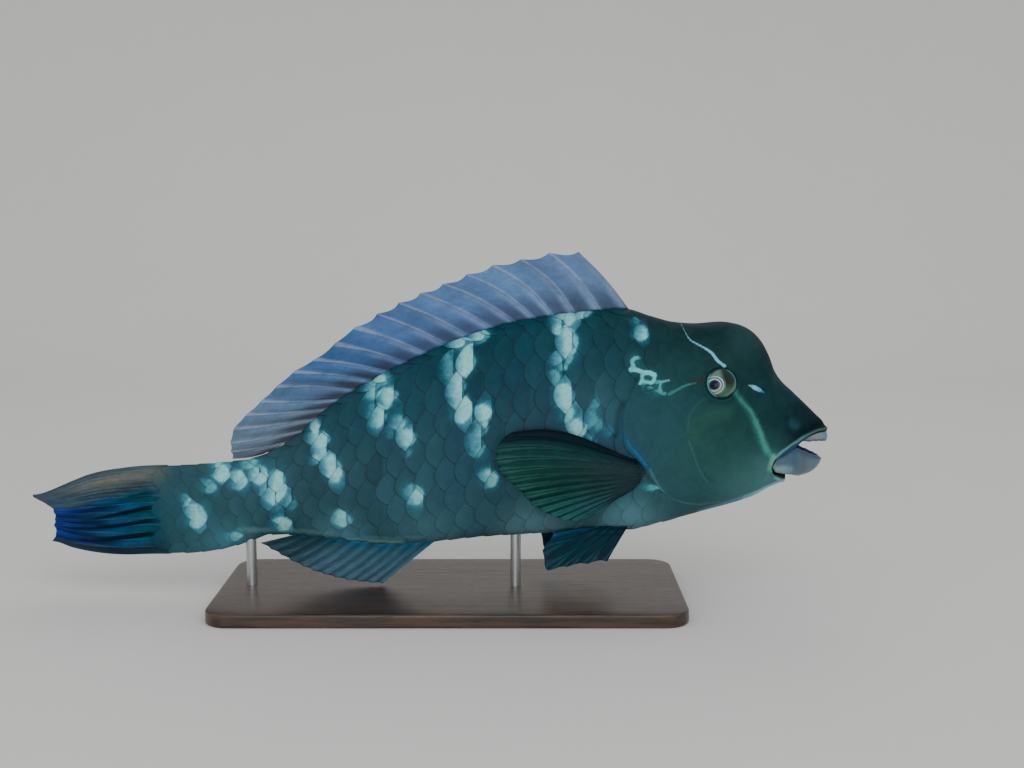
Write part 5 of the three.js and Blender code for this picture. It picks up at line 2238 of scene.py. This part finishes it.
@dataclass
class TailFin(RayedFin):
    """The tail fin, partly closed into pleats."""

    rays: int = 13
    rows: int = 44
    folds_root: tuple[float, ...] = (0.307, 0.459, 0.609, 0.762)
    folds_edge: tuple[float, ...] = (0.47, 0.6, 0.7, 0.87)
    folded_root: tuple[float, float] = (0.16, 0.93)
    folded_edge: tuple[float, float] = (0.36, 0.97)
    edge: Curve = Curve(((606.6, 78), (606.9, 76.4), (603.5, 73.6), (597, 70.5), (590.5, 67), (588.9, 60.7),
        (590.8, 53.6), (590.4, 47), (593.4, 41.2)))
    top: Profile = Profile(((500, 102), (532, 100.3), (557, 97.5), (577, 92.4), (598.4, 83.7), (606.9, 77.5)))
    bottom: Profile = Profile(((500, 33.5), (548, 31.8), (578, 32.7), (593.4, 41.2)))
    root_station: float = 500.3
    root_share: float = 0.3
    length: float = 90
    upper: Stops = ((0, srgb(60, 76, 84)), (0.05, srgb(72, 84, 90)), (0.11, srgb(102, 104, 94)),
        (0.16, srgb(82, 88, 84)), (0.22, srgb(46, 60, 66)), (0.28, srgb(30, 52, 64)),
        (0.34, srgb(26, 56, 72)))
    pleated: Stops = ((0, srgb(16, 70, 86)), (0.2, srgb(6, 68, 86)), (0.45, srgb(3, 70, 112)),
        (0.65, srgb(2, 40, 78)), (0.85, srgb(3, 32, 90)), (1, srgb(8, 40, 128)))
    lower: Stops = ((0, srgb(20, 44, 58)), (0.5, srgb(14, 34, 48)), (1, srgb(34, 48, 66)))
    lobe_tip: Colour = srgb(48, 66, 84)

    def thickness(self, web: Web) -> Array:
        """As thick as the stalk at the root, then a rayed web.

        Args:
            web: The fin's grid.

        Returns:
            Half thicknesses.
        """
        top, bottom = BODY.back.at(STALK_END), BODY.belly.at(STALK_END)
        fade = np.maximum(0, 1 - web.share / self.root_share)
        stalk = BODY.flank(STALK_END, top + (bottom - top) * web.along) * fade**2
        stalk = stalk - COAT_DEPTH * smooth(0, 1, fade)
        return np.maximum(super().thickness(web) * np.where(web.share < 0.02, 0.6, 1), stalk)

    def side_view(self, web: Web) -> tuple[Array, Array]:
        """Spreads the columns from the end of the stalk to the fin's own outline.

        Args:
            web: The fin's grid.

        Returns:
            Places as stations and heights, and distances from the root.
        """
        tip = self.edge.at(web.along)
        station = self.root_station + (tip[..., 0] - self.root_station) * web.share
        spread = self.top.at(station) + (self.bottom.at(station) - self.top.at(station)) * web.along
        back, belly = BODY.back.at(STALK_END), BODY.belly.at(STALK_END)
        straight = back + (belly - back) * web.along
        near_root = straight + (spread - straight) * np.minimum(1, web.share * 3)
        height = near_root + (tip[..., 1] - near_root) * web.share**4
        return np.stack([station, height], axis=-1), web.share * self.length

    def aside(self, web: Web) -> Array:
        """A slow wave with the pleats on it."""
        wave = 2.5 * web.share * np.sin(web.along * 9)
        return wave + 1.1 * smooth(0, 0.25, web.share) * self.pleats(web)

    def pleats(self, web: Web) -> Array:
        """Folds the middle of the fin.

        Args:
            web: The fin's grid.

        Returns:
            A wave from -1 to 1, lowest in each dark fold.
        """
        count = len(self.folds_root)
        marks = [-1.0, *range(count), float(count)]
        root_wave = np.interp(web.along, (self.folded_root[0], *self.folds_root, self.folded_root[1]), marks)
        edge_wave = np.interp(web.along, (self.folded_edge[0], *self.folds_edge, self.folded_edge[1]), marks)
        wave = root_wave + (edge_wave - root_wave) * smooth(0, 1, web.share)
        return -plateau(-0.9, -0.3, count - 0.7, count - 0.1, wave) * np.cos(wave * 2 * math.pi)

    def looks(self, web: Web) -> dict[str, Array]:
        """A grey upper lobe, teal to bright blue pleats with painted shade in their folds, and a grey lower
        edge.

        Args:
            web: The fin's grid.

        Returns:
            Tones, ray highlights and dark folds.
        """
        along, share, spot = web.along, web.share, web.spot
        lobe = blend_colours(self.upper, along + 0.02 * np.sin(share * 9))
        lobe = toward(lobe, 0.75 * smooth(0.5, 0.9, share), self.lobe_tip)
        pleat = blend_colours(self.pleated, share + 0.1 * np.sin(along * 31))
        into = smooth(0, 0.08, along - (0.2 + 0.2 * share))
        tone = toward(lobe, into, pleat)
        low = smooth(0.0, 0.06, along - 0.86 - 0.04 * share)
        tone = toward(tone, low, blend_colours(self.lower, share))
        root = 1 - smooth(0.04, 0.2, share + 0.03 * np.sin(along * 23))
        tone = toward(tone, root, MARKINGS.tone(spot[..., 0], spot[..., 1]))
        # Painted shade: the pleats' folds darken, the first fold less, fading towards the edge.
        first = bell(along - self.folds_root[0] - (self.folds_edge[0] - self.folds_root[0]) * share, 0.05)
        reach = smooth(0.05, 0.2, share) * (1 - 0.75 * smooth(0.45, 0.95, share))
        fold = smooth(0.2, 0.8, -self.pleats(web)) * reach * (1 - 0.55 * first)
        veins = 0.5 + 0.5 * np.sin(along * 150 + 3 * share)
        ray = 0.22 * self.ridge(web) + 0.16 * veins * (1 - into) * (1 - root)
        return {"tone": tone, "ray": ray * (1 - 0.4 * share), "fold": np.clip(fold, 0, 0.96)}


@dataclass
class PectoralFin(RayedFin):
    """A pectoral fin, folded back along the flank."""

    side: Side = Side.RIGHT
    rays: int = 15
    rows: int = 30
    branch_from: float = 0.22
    root: Curve = Curve(((151, 117), (146.5, 110), (147, 102), (152, 95), (158, 90)))
    edge: Curve = Curve(((238, 138.5), (243.5, 135), (248.5, 129), (250.8, 122), (250, 113), (245, 106.5),
        (237, 98.5), (231.5, 93.5), (225.5, 86), (214, 78), (204.5, 73.5), (194.5, 71.5), (178.5, 77)))
    stand_off: float = 13
    cup: float = 3
    web_root: float = 0.75
    ray_root: float = 0.9
    smoky_tone: Colour = srgb(44, 60, 66)
    lit_tone: Colour = srgb(10, 78, 66)

    def outline(self, web: Web) -> tuple[Array, Array]:
        """Root points on the shoulder and edge points."""
        return self.root.at(web.along), self.edge.at(web.along)

    def thickness(self, web: Web) -> Array:
        """Fleshier at the root."""
        return super().thickness(web) + 2.0 * np.maximum(0, 1 - web.share * 5)

    def place(self, web: Web, thick: Array) -> Array:
        """Holds the fin off the flank, further out towards its tip.

        Args:
            web: The fin's grid with its side view.
            thick: Half the sheet's thickness.

        Returns:
            Points of the sheet's middle.
        """
        along, share = web.along, web.share
        rise = (1 - along) ** 3 * np.sin(math.pi * share**1.4) * 8
        station = web.spot[..., 0] - rise * 0.2
        height = web.spot[..., 1] + rise
        away = self.stand_off * share**1.4 + self.cup * np.sin(math.pi * along) * share
        clear = BODY.flank(station, height) + GAP + thick + 0.15 - 1.6 * np.maximum(0, 1 - share * 8)
        groove = 0.35 * share * np.sin(2 * math.pi * web.column) * smooth(4, 8, web.column)
        outward = self.side.value * (clear + away + groove)
        return np.stack([SNOUT_X - station, outward + BODY.sway(station), height], axis=-1)

    def depth(self, web: Web) -> Array:
        """Shallow scallops along the rear edge, none beside the leading rays."""
        return 1.6 * smooth(1.5, 3.5, web.column)

    def looks(self, web: Web) -> dict[str, Array]:
        """A near-black leading edge, a green web and greyer lower rays.

        Args:
            web: The fin's grid.

        Returns:
            Tones, ray highlights and dark folds.
        """
        column, share = web.column, web.share
        stops = ((0, srgb(2, 24, 36)), (1.2, srgb(3, 30, 40)), (2, srgb(8, 50, 52)), (5, srgb(5, 50, 46)),
            (7, srgb(6, 54, 50)), (9, srgb(24, 72, 72)), (11, srgb(34, 84, 90)), (14, srgb(44, 84, 92)))
        tone = blend_colours(stops, column)
        smoky = 0.65 * (1 - smooth(0.15, 0.72 + 0.2 * smooth(8, 12, column), share)) * smooth(1, 4, column)
        tone = toward(tone, smoky, self.smoky_tone)
        tone = toward(tone, 0.25 * smooth(0.6, 0.95, share) * smooth(2, 5, column), self.lit_tone)
        fold = 0.7 * smooth(3.5, 7, column) * bell(web.within - 0.5, 0.17) * smooth(0.1, 0.3, share)
        edge_dark = 0.5 * (1 - smooth(0.5, 1.3, column)) * smooth(0.12, 0.3, share)
        ray = 0.26 * self.ridge(web) * smooth(1.2, 2.4, column)
        return {"tone": tone, "ray": ray * (0.5 + 0.5 * share), "fold": np.maximum(fold, edge_dark)}


@dataclass
class PelvicFin(RayedFin):
    """A pelvic fin, half spread below the belly."""

    side: Side = Side.RIGHT
    rays: int = 6
    rows: int = 26
    root_station: float = 154
    root_length: float = 26
    root_height: float = 59.5
    edge: Curve = Curve(((168, 36), (203.5, 31.8), (211, 30.3), (215.5, 33), (216, 44.5), (208, 57)))
    splay: float = 0.3
    branch_spread: float = 0.18

    def outline(self, web: Web) -> tuple[Array, Array]:
        """Sets the root beside the keel.

        Args:
            web: The fin's grid.

        Returns:
            Root and edge points, as stations and heights.
        """
        station = self.root_station + self.root_length * web.along
        return np.stack([station, self.root_height + web.along], axis=-1), self.edge.at(web.along)

    def thickness(self, web: Web) -> Array:
        """Fleshier at the root."""
        return super().thickness(web) + 1.2 * np.maximum(0, 1 - web.share * 4)

    def place(self, web: Web, thick: Array) -> Array:
        """Splays the fin out from the belly.

        Args:
            web: The fin's grid with its side view.
            thick: Half the sheet's thickness.

        Returns:
            Points of the sheet's middle.
        """
        station, height = web.spot[..., 0], web.spot[..., 1]
        below = BODY.flank(station, self.root_height) + self.splay * np.maximum(0, self.root_height - height)
        clear = np.maximum(below, BODY.flank(station, height)) + GAP + thick + 0.15
        clear = clear - 2.2 * np.maximum(0, 1 - web.share * 6)
        return np.stack([SNOUT_X - station, self.side.value * clear, height], axis=-1)

    def depth(self, web: Web) -> Array:
        """Scallops between the rays."""
        return np.full_like(web.column, 2.0)

    def looks(self, web: Web) -> dict[str, Array]:
        """Dark teal, with brighter blue rays behind.

        Args:
            web: The fin's grid.

        Returns:
            Tones, ray highlights and dark folds.
        """
        stops = ((0, srgb(0, 38, 56)), (2.5, srgb(0, 48, 62)), (4, srgb(0, 44, 62)), (5, srgb(4, 70, 108)))
        fold = 0.55 * bell(web.within - 0.5, 0.2) * smooth(0.1, 0.4, web.share)
        ray = 0.26 * self.ridge(web) * (0.4 + 0.6 * web.share)
        return {"tone": blend_colours(stops, web.column), "ray": ray, "fold": fold}


@dataclass
class Beak:
    """The fused tooth plates of both jaws."""

    inset: float = 1.0
    wall: float = 4.0
    columns: int = 60
    rows: int = 22
    mouth: Mouth = field(default_factory=Mouth)
    upper_edge: Profile = Profile(((0, 123), (12, 124.2), (19, 124.2), (24, 124.8)))
    lower_edge: Profile = Profile(((4.4, 109.6), (7, 110.8), (20.5, 116.6), (27.5, 119.6), (34, 116.1),
        (42, 112.4), (44.2, 111), (45.2, 107)))
    lower_rim: Profile = Profile(((21.5, 95.2), (25, 97.6), (35, 100.4), (42.5, 102.6), (44.2, 103.6),
        (45.2, 106.6)))
    upper_tones: Stops = ((0, srgb(46, 74, 106)), (3, srgb(90, 120, 142)), (8, srgb(120, 136, 136)),
        (14, srgb(128, 132, 122)), (20, srgb(94, 104, 98)))
    lower_tones: Stops = ((4, srgb(70, 94, 120)), (9, srgb(86, 106, 124)), (15, srgb(90, 106, 118)),
        (22, srgb(72, 92, 106)), (27, srgb(66, 94, 112)), (31, srgb(102, 138, 152)),
        (37, srgb(122, 160, 170)), (45, srgb(108, 148, 152)))
    shadow_tone: Colour = srgb(36, 72, 96)
    cutting_tone: Colour = srgb(34, 56, 92)
    gum_tone: Colour = srgb(56, 48, 42)

    def plate(self, station: Array, turn: Array, out: Array, across: Array,
            outward: Array, tone: Array) -> Shape:
        """Makes one jaw's plate as a curved shell.

        Args:
            station: Stations, rows by columns, from the right rear round the front to the left rear.
            turn: Signed turns of the same shape, negative on the right side.
            out: Outward lift of the outer face.
            across: Places across the plate in millimetres.
            outward: Distances from the gum in millimetres.
            tone: The plate's main colours.

        Returns:
            The closed shell.
        """
        face = BODY.raised(station, turn, out - self.inset)
        thin = self.wall * (1 - 0.72 * smooth(0.4, 1, outward / outward.max()))
        back = BODY.raised(station, turn, out - self.inset - thin)
        # Darker towards the gum, and darker blue along the cutting edge.
        gum_darkening = 0.6 * (1 - smooth(0, 2.2, outward))
        cutting = 0.85 * smooth(-2.4, -0.6, outward - outward.max(axis=0))
        tone = toward(tone, gum_darkening, self.gum_tone)
        tone = toward(tone, cutting, self.cutting_tone)
        return two_faced(back, face, {"across": across, "outward": outward, "tone": tone})

    def upper(self) -> Shape:
        """Makes the upper plate, from under the lip to its cutting edge.

        Returns:
            The closed shape.
        """
        across = np.linspace(-1, 1, self.columns + 1)
        share = np.linspace(0, 1, self.rows + 1)[:, None]
        gum_station = 1.4 + 22.6 * across**2
        gum = self.mouth.upper_gum.at(gum_station) + 2.0
        edge_station = 1.2 + 22.4 * across**2
        edge = self.upper_edge.at(edge_station) + 0.25 * np.cos(across * 40)
        height = gum + (edge - gum) * share
        front = self.front_station(height)
        span = 22.6 - 0.2 * share
        station = front + span * across**2 + 0.05
        turn = np.sign(across) * BODY.turn(station, height)
        groove = -0.5 * bell(across * 20, 0.8)
        ridges = 0.12 * np.sin(across * 60) * (1 - share)
        outward = (gum - height) + 0 * across
        tone = blend_colours(self.upper_tones, station)
        return self.plate(station, turn, groove + ridges + 0 * height, across * 24 + 0 * share, outward, tone)

    def front_station(self, height: Array) -> Array:
        """Follows the snout's outline in the side view.

        Args:
            height: Heights.

        Returns:
            The stations at which the outline has them.
        """
        stations = np.linspace(0.4, 12, 200)
        backs = BODY.back.at(stations)
        bellies = BODY.belly.at(stations)
        above = np.interp(height, backs, stations)
        below = np.interp(-height, -bellies, stations)
        return np.where(height > backs[0], above, np.where(height < bellies[0], below, 0.4))

    def lower(self) -> Shape:
        """Makes the lower plate, from its cutting edge to the lower lip.

        Returns:
            The closed shape.
        """
        across = np.linspace(-1, 1, self.columns + 1)
        share = np.linspace(0, 1, self.rows + 1)[:, None]
        station = 4.5 + 40.6 * np.abs(across) ** 1.7
        edge = self.lower_edge.at(station) + 0.2 * np.cos(across * 46)
        start = BODY.turn(station, edge)
        rim = BODY.turn(station, self.lower_rim.at(station) - 1.2)
        keel = np.clip((23 - station) / 2, 0, 1)
        end = rim + (0.5 - rim) * keel
        turn = np.sign(across) * (start + (end - start) * share)
        turn = np.where(across == 0, 0.5, turn)
        place = station + 0 * share
        outward = (1 - share) * 14 + 0 * across
        groove = -0.4 * bell(across * 20, 0.8) + 0 * share
        ridges = 0.12 * np.sin(across * 70) * share
        tone = blend_colours(self.lower_tones, place)
        height = edge + (self.lower_rim.at(station) - edge) * share
        shadow = 0.8 * smooth(24, 29, place) * smooth(105.5, 109.5, height)
        tone = toward(tone, shadow, self.shadow_tone)
        return self.plate(place, turn, groove + ridges, across * 30 + 0 * share, outward, tone)

    def build(self, material: Material) -> list[Object]:
        """Makes both plates in place of the solids'.

        Args:
            material: The tooth plates' finish.

        Returns:
            The two pieces.
        """
        made = []
        for shape, node in ((self.upper(), "beak_upper"), (self.lower(), "beak_lower")):
            piece = shape.piece(node + "_plates", material)
            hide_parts(node)
            made.append(piece)
        return made


@dataclass
class Eyes:
    """The two eyeballs, each with its painted iris."""

    rings: int = 36
    around: int = 64

    def ball(self, side: Side) -> Shape:
        """Makes an eyeball round the direction in which it looks.

        Args:
            side: The eye's side.

        Returns:
            The ball, with its places on the disc as values.
        """
        look = EYE.look(side)
        up = np.array([0, 0, 1.0]) - look[2] * look
        up = up / np.linalg.norm(up)
        ahead = np.array([1.0, 0, 0]) - look[0] * look
        ahead = ahead - (ahead @ up) * up
        ahead = ahead / np.linalg.norm(ahead)
        polar = np.linspace(0.004, math.pi - 0.02, self.rings + 1)[:, None]
        angle = np.arange(self.around) / self.around * 2 * math.pi
        reach = EYE.radius * np.sin(polar)
        dome = EYE.radius * np.cos(polar) + 0 * angle
        right = reach * np.cos(angle)
        above = reach * np.sin(angle)
        points = EYE.centre(side) + dome[..., None] * look + right[..., None] * ahead + above[..., None] * up
        faces = grid_faces(self.rings + 1, self.around, closed=True)
        if side is Side.LEFT:
            faces = faces[:, ::-1]
        values = {"ahead": right.ravel(), "up": above.ravel()}
        return Shape(points.reshape(-1, 3), faces, values)

    def build(self, material: Material) -> list[Object]:
        """Makes both eyes in place of the solids'.

        Args:
            material: The eye's finish.

        Returns:
            The two pieces.
        """
        made = []
        for side in Side:
            piece = self.ball(side).piece("eyeball_" + side.name.lower(), material)
            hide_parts("eye_" + side.name.lower())
            made.append(piece)
        return made


@dataclass
class Nostrils:
    """The two nostrils of each side, as small raised cups."""

    places: tuple[tuple[float, float, float], ...] = ((65, 168.6, 0.8), (58.4, 165.2, 0.6))
    section: Pairs = ((2.3, -0.3), (1.9, 0.1), (1.5, 0.35), (1.15, 0.3), (0.95, 0), (0.75, -0.6),
        (0.03, -0.9))
    # Painted shade: how dark each ring of the section is, darkest down in the pit.
    pit_shade_shares: tuple[float, ...] = (0, 0, 0, 0.3, 0.8, 1, 1)
    relief: float = 1.4
    pit_shade_tone: Colour = srgb(6, 10, 12)
    around: int = 24

    def cup(self, station: float, height: float, radius: float, side: Side) -> Shape:
        """Makes one cup: its section runs from the skin over a rim into the pit.

        Args:
            station: The cup's distance behind the snout.
            height: Its height.
            radius: The scale of its section.
            side: The side of the fish.

        Returns:
            The cup, with the skin's markings on its rim and painted shade in its pit.
        """
        out = BODY.facing(station, height, side)
        first = np.cross(out, np.array([0, 0, 1.0]))
        first = first / np.linalg.norm(first)
        angle = np.arange(self.around) / self.around * 2 * math.pi
        spoke = np.cos(angle)[:, None] * first + np.sin(angle)[:, None] * np.cross(first, out)
        reach = float(BODY.flank(station, height))
        middle = np.array([SNOUT_X - station, side.value * reach, height]) - out * COAT_DEPTH
        rows = [middle + spoke * wide * radius + out * lift * self.relief for wide, lift in self.section]
        points = np.array(rows)
        faces = grid_faces(len(rows), self.around, closed=True)
        # Painted shade darkens the pit and hides the markings there.
        pit = np.array(self.pit_shade_shares)[:, None]
        painted = MARKINGS.paint(SNOUT_X - points[..., 0], points[..., 2])
        painted["tone"] = painted["tone"] * (1 - pit[..., None]) + np.array(self.pit_shade_tone) * pit[..., None]
        painted["pale"] = painted["pale"] * (1 - pit)
        painted["line_strength"] = painted["line_strength"] * (1 - pit)
        if side is Side.RIGHT:
            faces = faces[:, ::-1]
        return Shape(points.reshape(-1, 3), faces, point_rows(painted))

    def build(self, material: Material) -> Object:
        """Makes all four as one piece.

        Args:
            material: The bare skin's finish.

        Returns:
            The piece.
        """
        cups = [self.cup(*place, side) for place in self.places for side in Side]
        piece = Shape.joined(cups).piece("nostrils", material)
        return piece


@dataclass
class Stand:
    """The plain board and its two rods."""

    length: float = 350
    width: float = 150
    height: float = 10
    corner: float = 18
    centre_x: float = 18
    bevel: float = 1.5
    rod_radius: float = 4
    stations: tuple[float, float] = (236, 438)
    sunk_below: float = 5
    sunk_above: float = 9
    middle_inset: float = 12
    bevel_steps: int = 7
    corner_steps: int = 12
    rod_ease: float = 0.5
    rod_levels: int = 12
    rod_sides: int = 48
    tip_radius: float = 0.02

    def board(self) -> Shape:
        """Makes the board with softly rounded edges, closed above and below along its middle line.

        Returns:
            The closed shape.
        """
        levels = []
        for turn in np.linspace(0, math.pi / 2, self.bevel_steps):
            levels.append((self.bevel * (1 - math.cos(turn)), self.bevel * (1 - math.sin(turn))))
        for turn in np.linspace(math.pi / 2, 0, self.bevel_steps):
            drop = self.bevel * (1 - math.cos(turn))
            levels.append((self.height - drop, self.bevel * (1 - math.sin(turn))))
        rings = [self.outline(inset, level) for level, inset in levels]
        inner = [self.outline(self.middle_inset, 0.0), *rings, self.outline(self.middle_inset, self.height)]
        points = np.array([self.flattened(0.0), *inner, self.flattened(self.height)])
        faces = grid_faces(len(points), points.shape[1], closed=True)
        return Shape(points.reshape(-1, 3), faces[:, ::-1])

    def outline(self, inset: float, level: float) -> Array:
        """Draws a rounded rectangle.

        Args:
            inset: How far it is drawn in from the board's edge.
            level: Its height.

        Returns:
            Its points.
        """
        radius = max(0.5, self.corner - inset)
        far = self.length / 2 - inset - radius
        wide = self.width / 2 - inset - radius
        ring = []
        for quarter, (sx, sy) in enumerate(((1, 1), (-1, 1), (-1, -1), (1, -1))):
            for turn in np.linspace(0, math.pi / 2, self.corner_steps) + quarter * math.pi / 2:
                x = sx * far + radius * math.cos(turn) + self.centre_x
                ring.append((x, sy * wide + radius * math.sin(turn), level))
        return np.array(ring)

    def flattened(self, level: float) -> Array:
        """Draws the board's long middle line, to which the top and the underside close.

        Args:
            level: Its height.

        Returns:
            As many points as an outline has.
        """
        ring = self.outline(self.middle_inset, level)
        ring[:, 1] = 0
        return ring

    def rod(self, station: float) -> Shape:
        """Makes a rod with eased ends from the board up into the body.

        Args:
            station: The rod's distance behind the snout.

        Returns:
            The closed shape.
        """
        foot = self.height - self.sunk_below
        head = float(BODY.belly.at(station)) + self.sunk_above
        eased = self.rod_radius - self.rod_ease
        low = [(self.tip_radius, foot), (eased, foot), (self.rod_radius, foot + self.rod_ease)]
        high = [(self.rod_radius, head - self.rod_ease), (eased, head), (self.tip_radius, head)]
        straight = [(self.rod_radius, level) for level in np.linspace(foot + 1, head - 1, self.rod_levels)]
        angle = np.arange(self.rod_sides) / self.rod_sides * 2 * math.pi
        middle = np.array([SNOUT_X - station, float(BODY.sway(station)), 0])
        rings = []
        for radius, level in [*low, *straight, *high]:
            ring = np.stack([radius * np.cos(angle), radius * np.sin(angle), 0 * angle + level], axis=-1)
            rings.append(ring + middle)
        points = np.array(rings)
        return Shape(points.reshape(-1, 3), grid_faces(len(rings), self.rod_sides, closed=True))

    def build(self, wood: Material, steel: Material) -> list[Object]:
        """Makes the board and the rods in place of the solids'.

        Args:
            wood: The board's finish.
            steel: The rods' finish.

        Returns:
            The pieces.
        """
        board = self.board().piece("stand_board", wood)
        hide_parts("stand_base")
        made = [board]
        for station, name in zip(self.stations, ("front", "rear")):
            piece = self.rod(station).piece("stand_post_" + name, steel)
            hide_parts("stand_rod_" + name)
            made.append(piece)
        return made


@dataclass
class Studio:
    """The plain pale floor, the soft lights and the camera."""

    aim: Place = (64.9, 0, 165.4)
    elevation: float = 8
    distance: float = 1000
    lens: float = 46.875
    world_level: float = 0.85
    key_power: float = 6.0
    low_power: float = 8.0
    rim_power: float = 3.0
    near_edge: float = -3.0
    curve_start: float = 1.2
    curve_radius: float = 0.8
    half_width: float = 4

    def floor(self, material: Material) -> None:
        """Makes the floor, in metres, which curves up far behind.

        Args:
            material: Its finish.
        """
        line = [(self.near_edge, 0.0), (self.curve_start, 0.0)]
        for turn in np.linspace(0, math.pi / 2, 16)[1:]:
            y = self.curve_start + self.curve_radius * math.sin(turn)
            line.append((y, self.curve_radius * (1 - math.cos(turn))))
        line.append((2.0, 4.0))
        across = np.linspace(-self.half_width, self.half_width, 9)
        points = np.array([(x, y, z) for y, z in line for x in across])
        floor = smooth_object("floor", points, grid_faces(len(line), len(across)), material)

    def light(self, name: str, place: Place, size: float, power: float) -> None:
        """Adds one soft area light aimed at the fish.

        Args:
            name: The light's name.
            place: Its place in metres.
            size: The width of its disc in metres.
            power: Its power in watts.
        """
        data = bpy.data.lights.new(name, "AREA")
        data.shape = "DISK"
        data.size = size
        data.energy = power
        lamp = bpy.data.objects.new(name, data)
        lamp.location = place
        aim = Vector([value * MM for value in self.aim])
        lamp.rotation_euler = (aim - lamp.location).to_track_quat("-Z", "Y").to_euler()
        bpy.context.scene.collection.objects.link(lamp)

    def camera(self) -> None:
        """Adds the camera at the photograph's viewing angle."""
        data = bpy.data.cameras.new("camera")
        data.lens = self.lens
        data.sensor_width = 36
        data.clip_start = 0.01
        camera = bpy.data.objects.new("camera", data)
        tilt = math.radians(self.elevation)
        aim = Vector([value * MM for value in self.aim])
        camera.location = aim + Vector((0, -math.cos(tilt), math.sin(tilt))) * self.distance * MM
        camera.rotation_euler = (aim - camera.location).to_track_quat("-Z", "Y").to_euler()
        bpy.context.scene.collection.objects.link(camera)
        bpy.context.scene.camera = camera

    def build(self, material: Material) -> None:
        """Sets up floor, lights, sky and camera.

        Args:
            material: The floor's finish.
        """
        self.floor(material)
        self.light("key", (0.5, -1.3, 1.5), 1.2, self.key_power)
        self.light("low fill", (-0.1, -1.4, 0.12), 1.0, self.low_power)
        self.light("rim", (0.2, 1.3, 1.4), 0.8, self.rim_power)
        world = bpy.data.worlds.new("studio")
        world.use_nodes = True
        background = world.node_tree.nodes["Background"]
        background.inputs["Color"].default_value = (1, 1, 1, 1)
        background.inputs["Strength"].default_value = self.world_level
        bpy.context.scene.world = world
        self.camera()


FIN_NODES: tuple[tuple[str, Callable[[], RayedFin], str], ...] = (
    ("fin_dorsal", DorsalFin, "dorsal_fin"),
    ("fin_anal", AnalFin, "anal_fin"),
    ("fin_caudal", TailFin, "tail_fin"),
    ("fin_pectoral_right", lambda: PectoralFin(side=Side.RIGHT), "paired_fin"),
    ("fin_pectoral_left", lambda: PectoralFin(side=Side.LEFT), "paired_fin"),
    ("fin_pelvic_right", lambda: PelvicFin(side=Side.RIGHT), "paired_fin"),
    ("fin_pelvic_left", lambda: PelvicFin(side=Side.LEFT), "paired_fin"),
)


def build_fins(web: ShaderGroup) -> None:
    """Makes every fin with its own finish, in place of the solids'.

    Args:
        web: The rayed web that the fins' finishes share.
    """
    finishes = (
        FinFinish("lavender fin", "dorsal_fin", ray=srgb(190, 200, 220), fold=srgb(44, 38, 46), streak=0.3),
        FinFinish("slate fin", "anal_fin", ray=srgb(84, 128, 140), fold=srgb(14, 28, 38), streak=0.35),
        # The tail's fold colour is painted shade in its pleats.
        FinFinish("blue tail fin", "tail_fin", ray=srgb(120, 150, 165), fold=srgb(4, 12, 22), streak=0.4),
        FinFinish("green fin", "paired_fin", ray=srgb(84, 128, 118), fold=srgb(0, 18, 28), streak=0.4),
    )
    materials = {finish.slot: finish.build(web) for finish in finishes}
    for node, make, slot in FIN_NODES:
        piece = make().shape().piece(node + "_rayed", materials[slot])
        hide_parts(node)


def main() -> None:
    """Builds the classes in order and reports each piece."""
    logging.basicConfig(level=logging.INFO, format="%(name)s: %(message)s")
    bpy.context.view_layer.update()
    mottle = make_mottle()
    painted = make_fish_skin(mottle)
    web = make_fin_web(mottle)
    skin_finish = SkinFinish("bare skin", "skin", marbling=0.03, specular=0.05).build(painted)
    scale_finish = SkinFinish("scales", "skin", outline=0.72, marbling=0.02, specular=0.07).build(painted)
    Skin().build(skin_finish)
    Nostrils().build(skin_finish)
    ScaleCoat().build(scale_finish)
    build_fins(web)
    Beak().build(BeakFinish("tooth plates", "beak", coat=0.3).build(mottle))
    Eyes().build(EyeFinish("eye", "eye", coat=0.16, coat_roughness=0.05, specular=0.12).build(mottle))
    wood = WoodFinish("dark hardwood", "stand_board", coat=0.1, coat_roughness=0.3).build(mottle)
    steel = SteelFinish("brushed steel", "stand_rod", bump=0.1).build(mottle)
    Stand().build(wood, steel)
    Studio().build(FloorFinish("pale floor", "floor").build(mottle))


if __name__ == "__main__":
    main()
